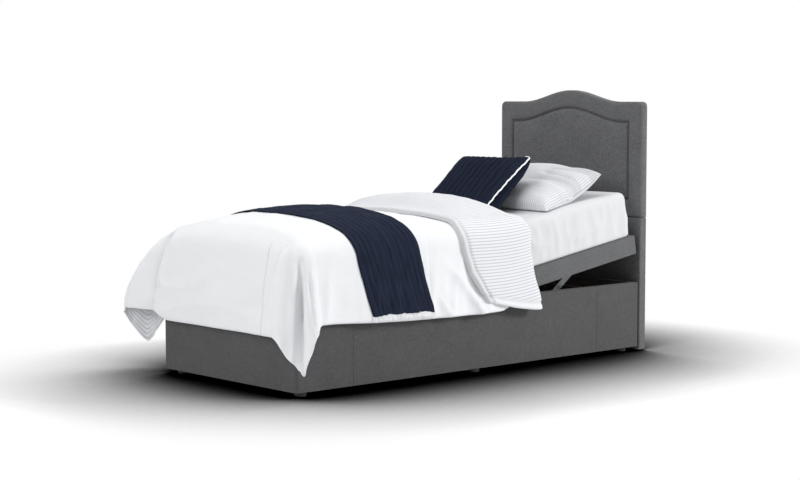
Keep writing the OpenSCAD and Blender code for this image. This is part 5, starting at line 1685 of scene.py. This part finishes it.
@dataclass
class Cushion:
    """The ribbed navy cushion with white piping, leaning back on the pillow's foot side."""

    finishes: Finishes
    shape: BedShape
    form: StuffedForm = StuffedForm(0.430, 0.364, 0.112, 0.5, 0.04, (109, 50), 0.42, 0.0025)
    x: float = 0.020
    foot_y: float = 0.243
    seat: float = 0.128 * 0.112
    lean_deg: float = 48.5
    ribs: int = 12
    keep: float = 0.68
    piping_r: float = 0.0036
    seam_forward: float = 0.043
    back_fuller: float = 0.013

    def forward(self, u: Array, v: Array) -> Array:
        """How far the seam lies in front of the cushion's middle, most at its lower corners."""
        corner = self.seam_forward * ease((np.abs(u) - 0.25) / 0.75)
        return corner * (0.70 - 0.30 * v) * np.where(u > 0, 1.0, 0.3)

    def place(self) -> Matrix:
        """Where the cushion's seam plane stands."""
        z = float(self.shape.bed_z(np.array(self.foot_y))) + self.seat
        turn = Matrix.Rotation(math.radians(90 - self.lean_deg), 4, "X")
        stand = Matrix.Translation((self.x, self.foot_y, z)) @ turn
        return stand @ Matrix.Translation((0, self.form.height / 2, 0))

    def build(self) -> None:
        """Makes the cushion and its piping."""
        form = self.form
        u, v = form.grid()
        x, y = form.seam(u, v)
        plump = form.plump(u, v)
        wobble = 0.06 * cloth_noise(v * 3.0, u * 8, 71)
        rib = np.abs(np.sin(np.pi * self.ribs * ((u + 1) / 2) + wobble)) ** 0.6
        crush = cloth_noise(v * 8, u * self.ribs, 72) * 0.0012
        relief = (-0.0080 * (1 - rib) + crush) * ease(plump * 1.6)
        dip = 1 - 0.06 * np.exp(-((u / 0.5) ** 2 + (v / 0.5) ** 2))
        half = form.thickness / 2 - form.seam_half
        ahead = self.forward(u, v)
        back = (half + ahead + self.back_fuller * ahead / self.seam_forward) * plump**0.7 * dip
        front = ahead + form.seam_half + (half - ahead) * plump * dip + relief
        outer = np.stack([x, y, front], -1)
        inner = np.stack([x, y, ahead - form.seam_half - back - relief], -1)
        # Painted shade mask for the rib valleys, on both sides.
        rib_valley_shade = ease((0.5 - rib) / 0.5)
        masks = {"lining_and_rib_shade": (rib_valley_shade, rib_valley_shade)}
        obj = padded_skin("cushion_cover", outer, inner, np.stack([x, y], -1), masks, rounds=1)
        Stuffing(pressure=1.5, cap=0.004, shrink=-0.02).run(obj)
        obj.data.transform(self.place())
        points = read_rows(obj.data.vertices)
        points[:, 2] = np.maximum(points[:, 2], self.shape.bed_z(points[:, 1]) + 0.0010)
        write_points(obj, points)
        self.finishes.dress(obj, "cushion_quilt", "cushion", fill=0.75)
        top = self.place() @ Vector((0, form.height / 2, 0))
        up = self.place().to_3x3() @ Vector((0, 1, 0))
        for part in (obj, self.piping()):
            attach(part, "back")
            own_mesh(part)

    def piping(self) -> bpy.types.Object:
        """Makes the cord of white cloth round the seam."""
        sides, count = 10, 70
        line, ones = np.linspace(-1, 1, count), np.ones(count)
        ways = ((line, -ones), (ones, line), (-line, ones), (-ones, -line))
        u, v = np.concatenate([np.stack(way, 1)[:-1] for way in ways]).T
        x, y = self.form.seam(u, v)
        number = np.arange(len(x))
        sway = 0.0016 * np.sin(number * 0.9) + 0.0012 * np.sin(number * 0.37)
        path = np.stack([x, y, self.forward(u, v) + sway], 1)
        for _ in range(3):
            path = (np.roll(path, 1, 0) + 2 * path + np.roll(path, -1, 0)) / 4
        tangent = np.roll(path, -1, 0) - np.roll(path, 1, 0)
        tangent /= np.linalg.norm(tangent, axis=1, keepdims=True)
        side = np.cross(tangent, (0, 0, 1))
        up = np.array([0, 0, 1.0])
        rows = []
        for angle in (2 * math.pi * q / sides for q in range(sides)):
            out = side * (self.piping_r * math.cos(angle) + 0.0055)
            rows.append(path + out + up * self.piping_r * math.sin(angle))
        points = np.stack(rows, 1).reshape(-1, 3)
        faces = tube_faces(len(path), sides, flip=True, wrap=True)
        round_uv = np.tile(np.arange(sides) * 0.002, len(path))
        uv = np.stack([np.repeat(number * 0.006, sides), round_uv], 1)
        obj = new_mesh_object("cushion_piping", points, faces, uv)
        obj.data.transform(self.place())
        obj.data.materials.append(self.finishes.by_slot["piping"])
        log.info("%s: %d faces", obj.name, len(obj.data.polygons))
        return obj


@dataclass
class Studio:
    """Pale floor, soft light and the camera at the photograph's place."""

    camera_at: Point = (5.9137, -5.3575, 1.1827)
    yaw_deg: float = 48.19
    pitch_deg: float = 4.58
    lens_mm: float = 81.06
    room: float = 0.40
    shadow_m: float = 0.95
    shadow_power: float = 2.3
    floor_half: float = 30.0

    def camera(self) -> None:
        """Places the camera."""
        data = bpy.data.cameras.new("camera")
        data.sensor_fit = "HORIZONTAL"
        data.sensor_width = 36.0
        data.lens = self.lens_mm
        data.clip_end = 60.0
        obj = add_object("camera", data)
        obj.location = self.camera_at
        turn = (math.radians(90 - self.pitch_deg), 0, math.radians(self.yaw_deg))
        obj.rotation_euler = Euler(turn)
        bpy.context.scene.camera = obj

    def floor(self) -> None:
        """Makes the floor, whose soft contact shadow comes from how much of the room it sees."""
        h = self.floor_half
        points = np.array([(-h, -h, 0), (h, -h, 0), (h, h, 0), (-h, h, 0)])
        obj = new_mesh_object("floor", points, [[0, 1, 2, 3]], closed=False)
        material, g, shader = new_material("floor")
        output = next(n for n in g.tree.nodes if n.type == "OUTPUT_MATERIAL")
        near = g.node("ShaderNodeAmbientOcclusion", {"Distance": self.shadow_m}, samples=32)
        open_share = g.math("MULTIPLY_ADD", near.outputs["AO"], 2.0, -1.0, clamp=True)
        tone = g.math("POWER", open_share, self.shadow_power)
        grey = (0.9, 0.9, 0.9, 1)
        g.feed(shader, {"Base Color": grey, "Roughness": 0.9, "Specular IOR Level": 0.1})
        colour = g.mix(tone, (0.0, 0.0, 0.0), (1.0, 1.0, 1.0))
        light = g.node("ShaderNodeEmission", {"Color": colour, "Strength": 1.0})
        seen = g.node("ShaderNodeLightPath").outputs["Is Camera Ray"]
        sources = {0: seen, 1: shader.outputs[0], 2: light.outputs[0]}
        g.feed(output, {"Surface": g.node("ShaderNodeMixShader", sources).outputs[0]})
        obj.data.materials.append(material)

    def world(self) -> None:
        """Sets a plain room light and a white background."""
        world = bpy.data.worlds.new("room")
        bpy.context.scene.world = world
        world.use_nodes = True
        g = Graph(world.node_tree)
        background = next(n for n in g.tree.nodes if n.type == "BACKGROUND")
        rays = g.node("ShaderNodeLightPath").outputs
        clear = g.math("MAXIMUM", rays["Is Glossy Ray"], rays["Is Transmission Ray"])
        seen = g.math("MAXIMUM", rays["Is Camera Ray"], clear)
        strength = g.math("MULTIPLY_ADD", seen, 1.0 - self.room, self.room)
        g.feed(background, {"Strength": strength, "Color": (1.0, 1.0, 1.0, 1.0)})

    def lamp(self, name: str, at: Point, aim: Point, size: float, watts: float) -> None:
        """Places one soft lamp."""
        data = bpy.data.lights.new(name, "AREA")
        data.shape = "SQUARE"
        data.size = size
        data.energy = watts
        obj = add_object(name, data)
        obj.location = at
        obj.rotation_euler = (Vector(aim) - Vector(at)).to_track_quat("-Z", "Y").to_euler()

    def build(self) -> None:
        """Sets up the whole studio."""
        self.camera()
        self.floor()
        self.world()
        self.lamp("key", (6.0, 4.2, 3.2), (0.3, -0.3, 0.4), 1.7, 385.0)
        self.lamp("top", (-0.4, -0.8, 4.2), (0, -0.2, 0.4), 2.6, 80.0)
        self.lamp("foot", (0.6, -5.0, 2.8), (0, -0.4, 0.5), 2.2, 88.0)
        bpy.context.scene.view_settings.view_transform = "Standard"


def main() -> None:
    """Builds the studio and every piece of the bed in order."""
    Studio().build()
    finishes = Finishes()
    finishes.dress_frame()
    shape = BedShape()
    surface = DuvetSurface(shape)
    Headboard(finishes).build()
    Mattress(finishes, shape).build()
    Duvet(finishes, surface).build()
    Runner(finishes, surface).build()
    Pillow(finishes, shape).build()
    Cushion(finishes, shape).build()


if __name__ == "__main__":
    main()
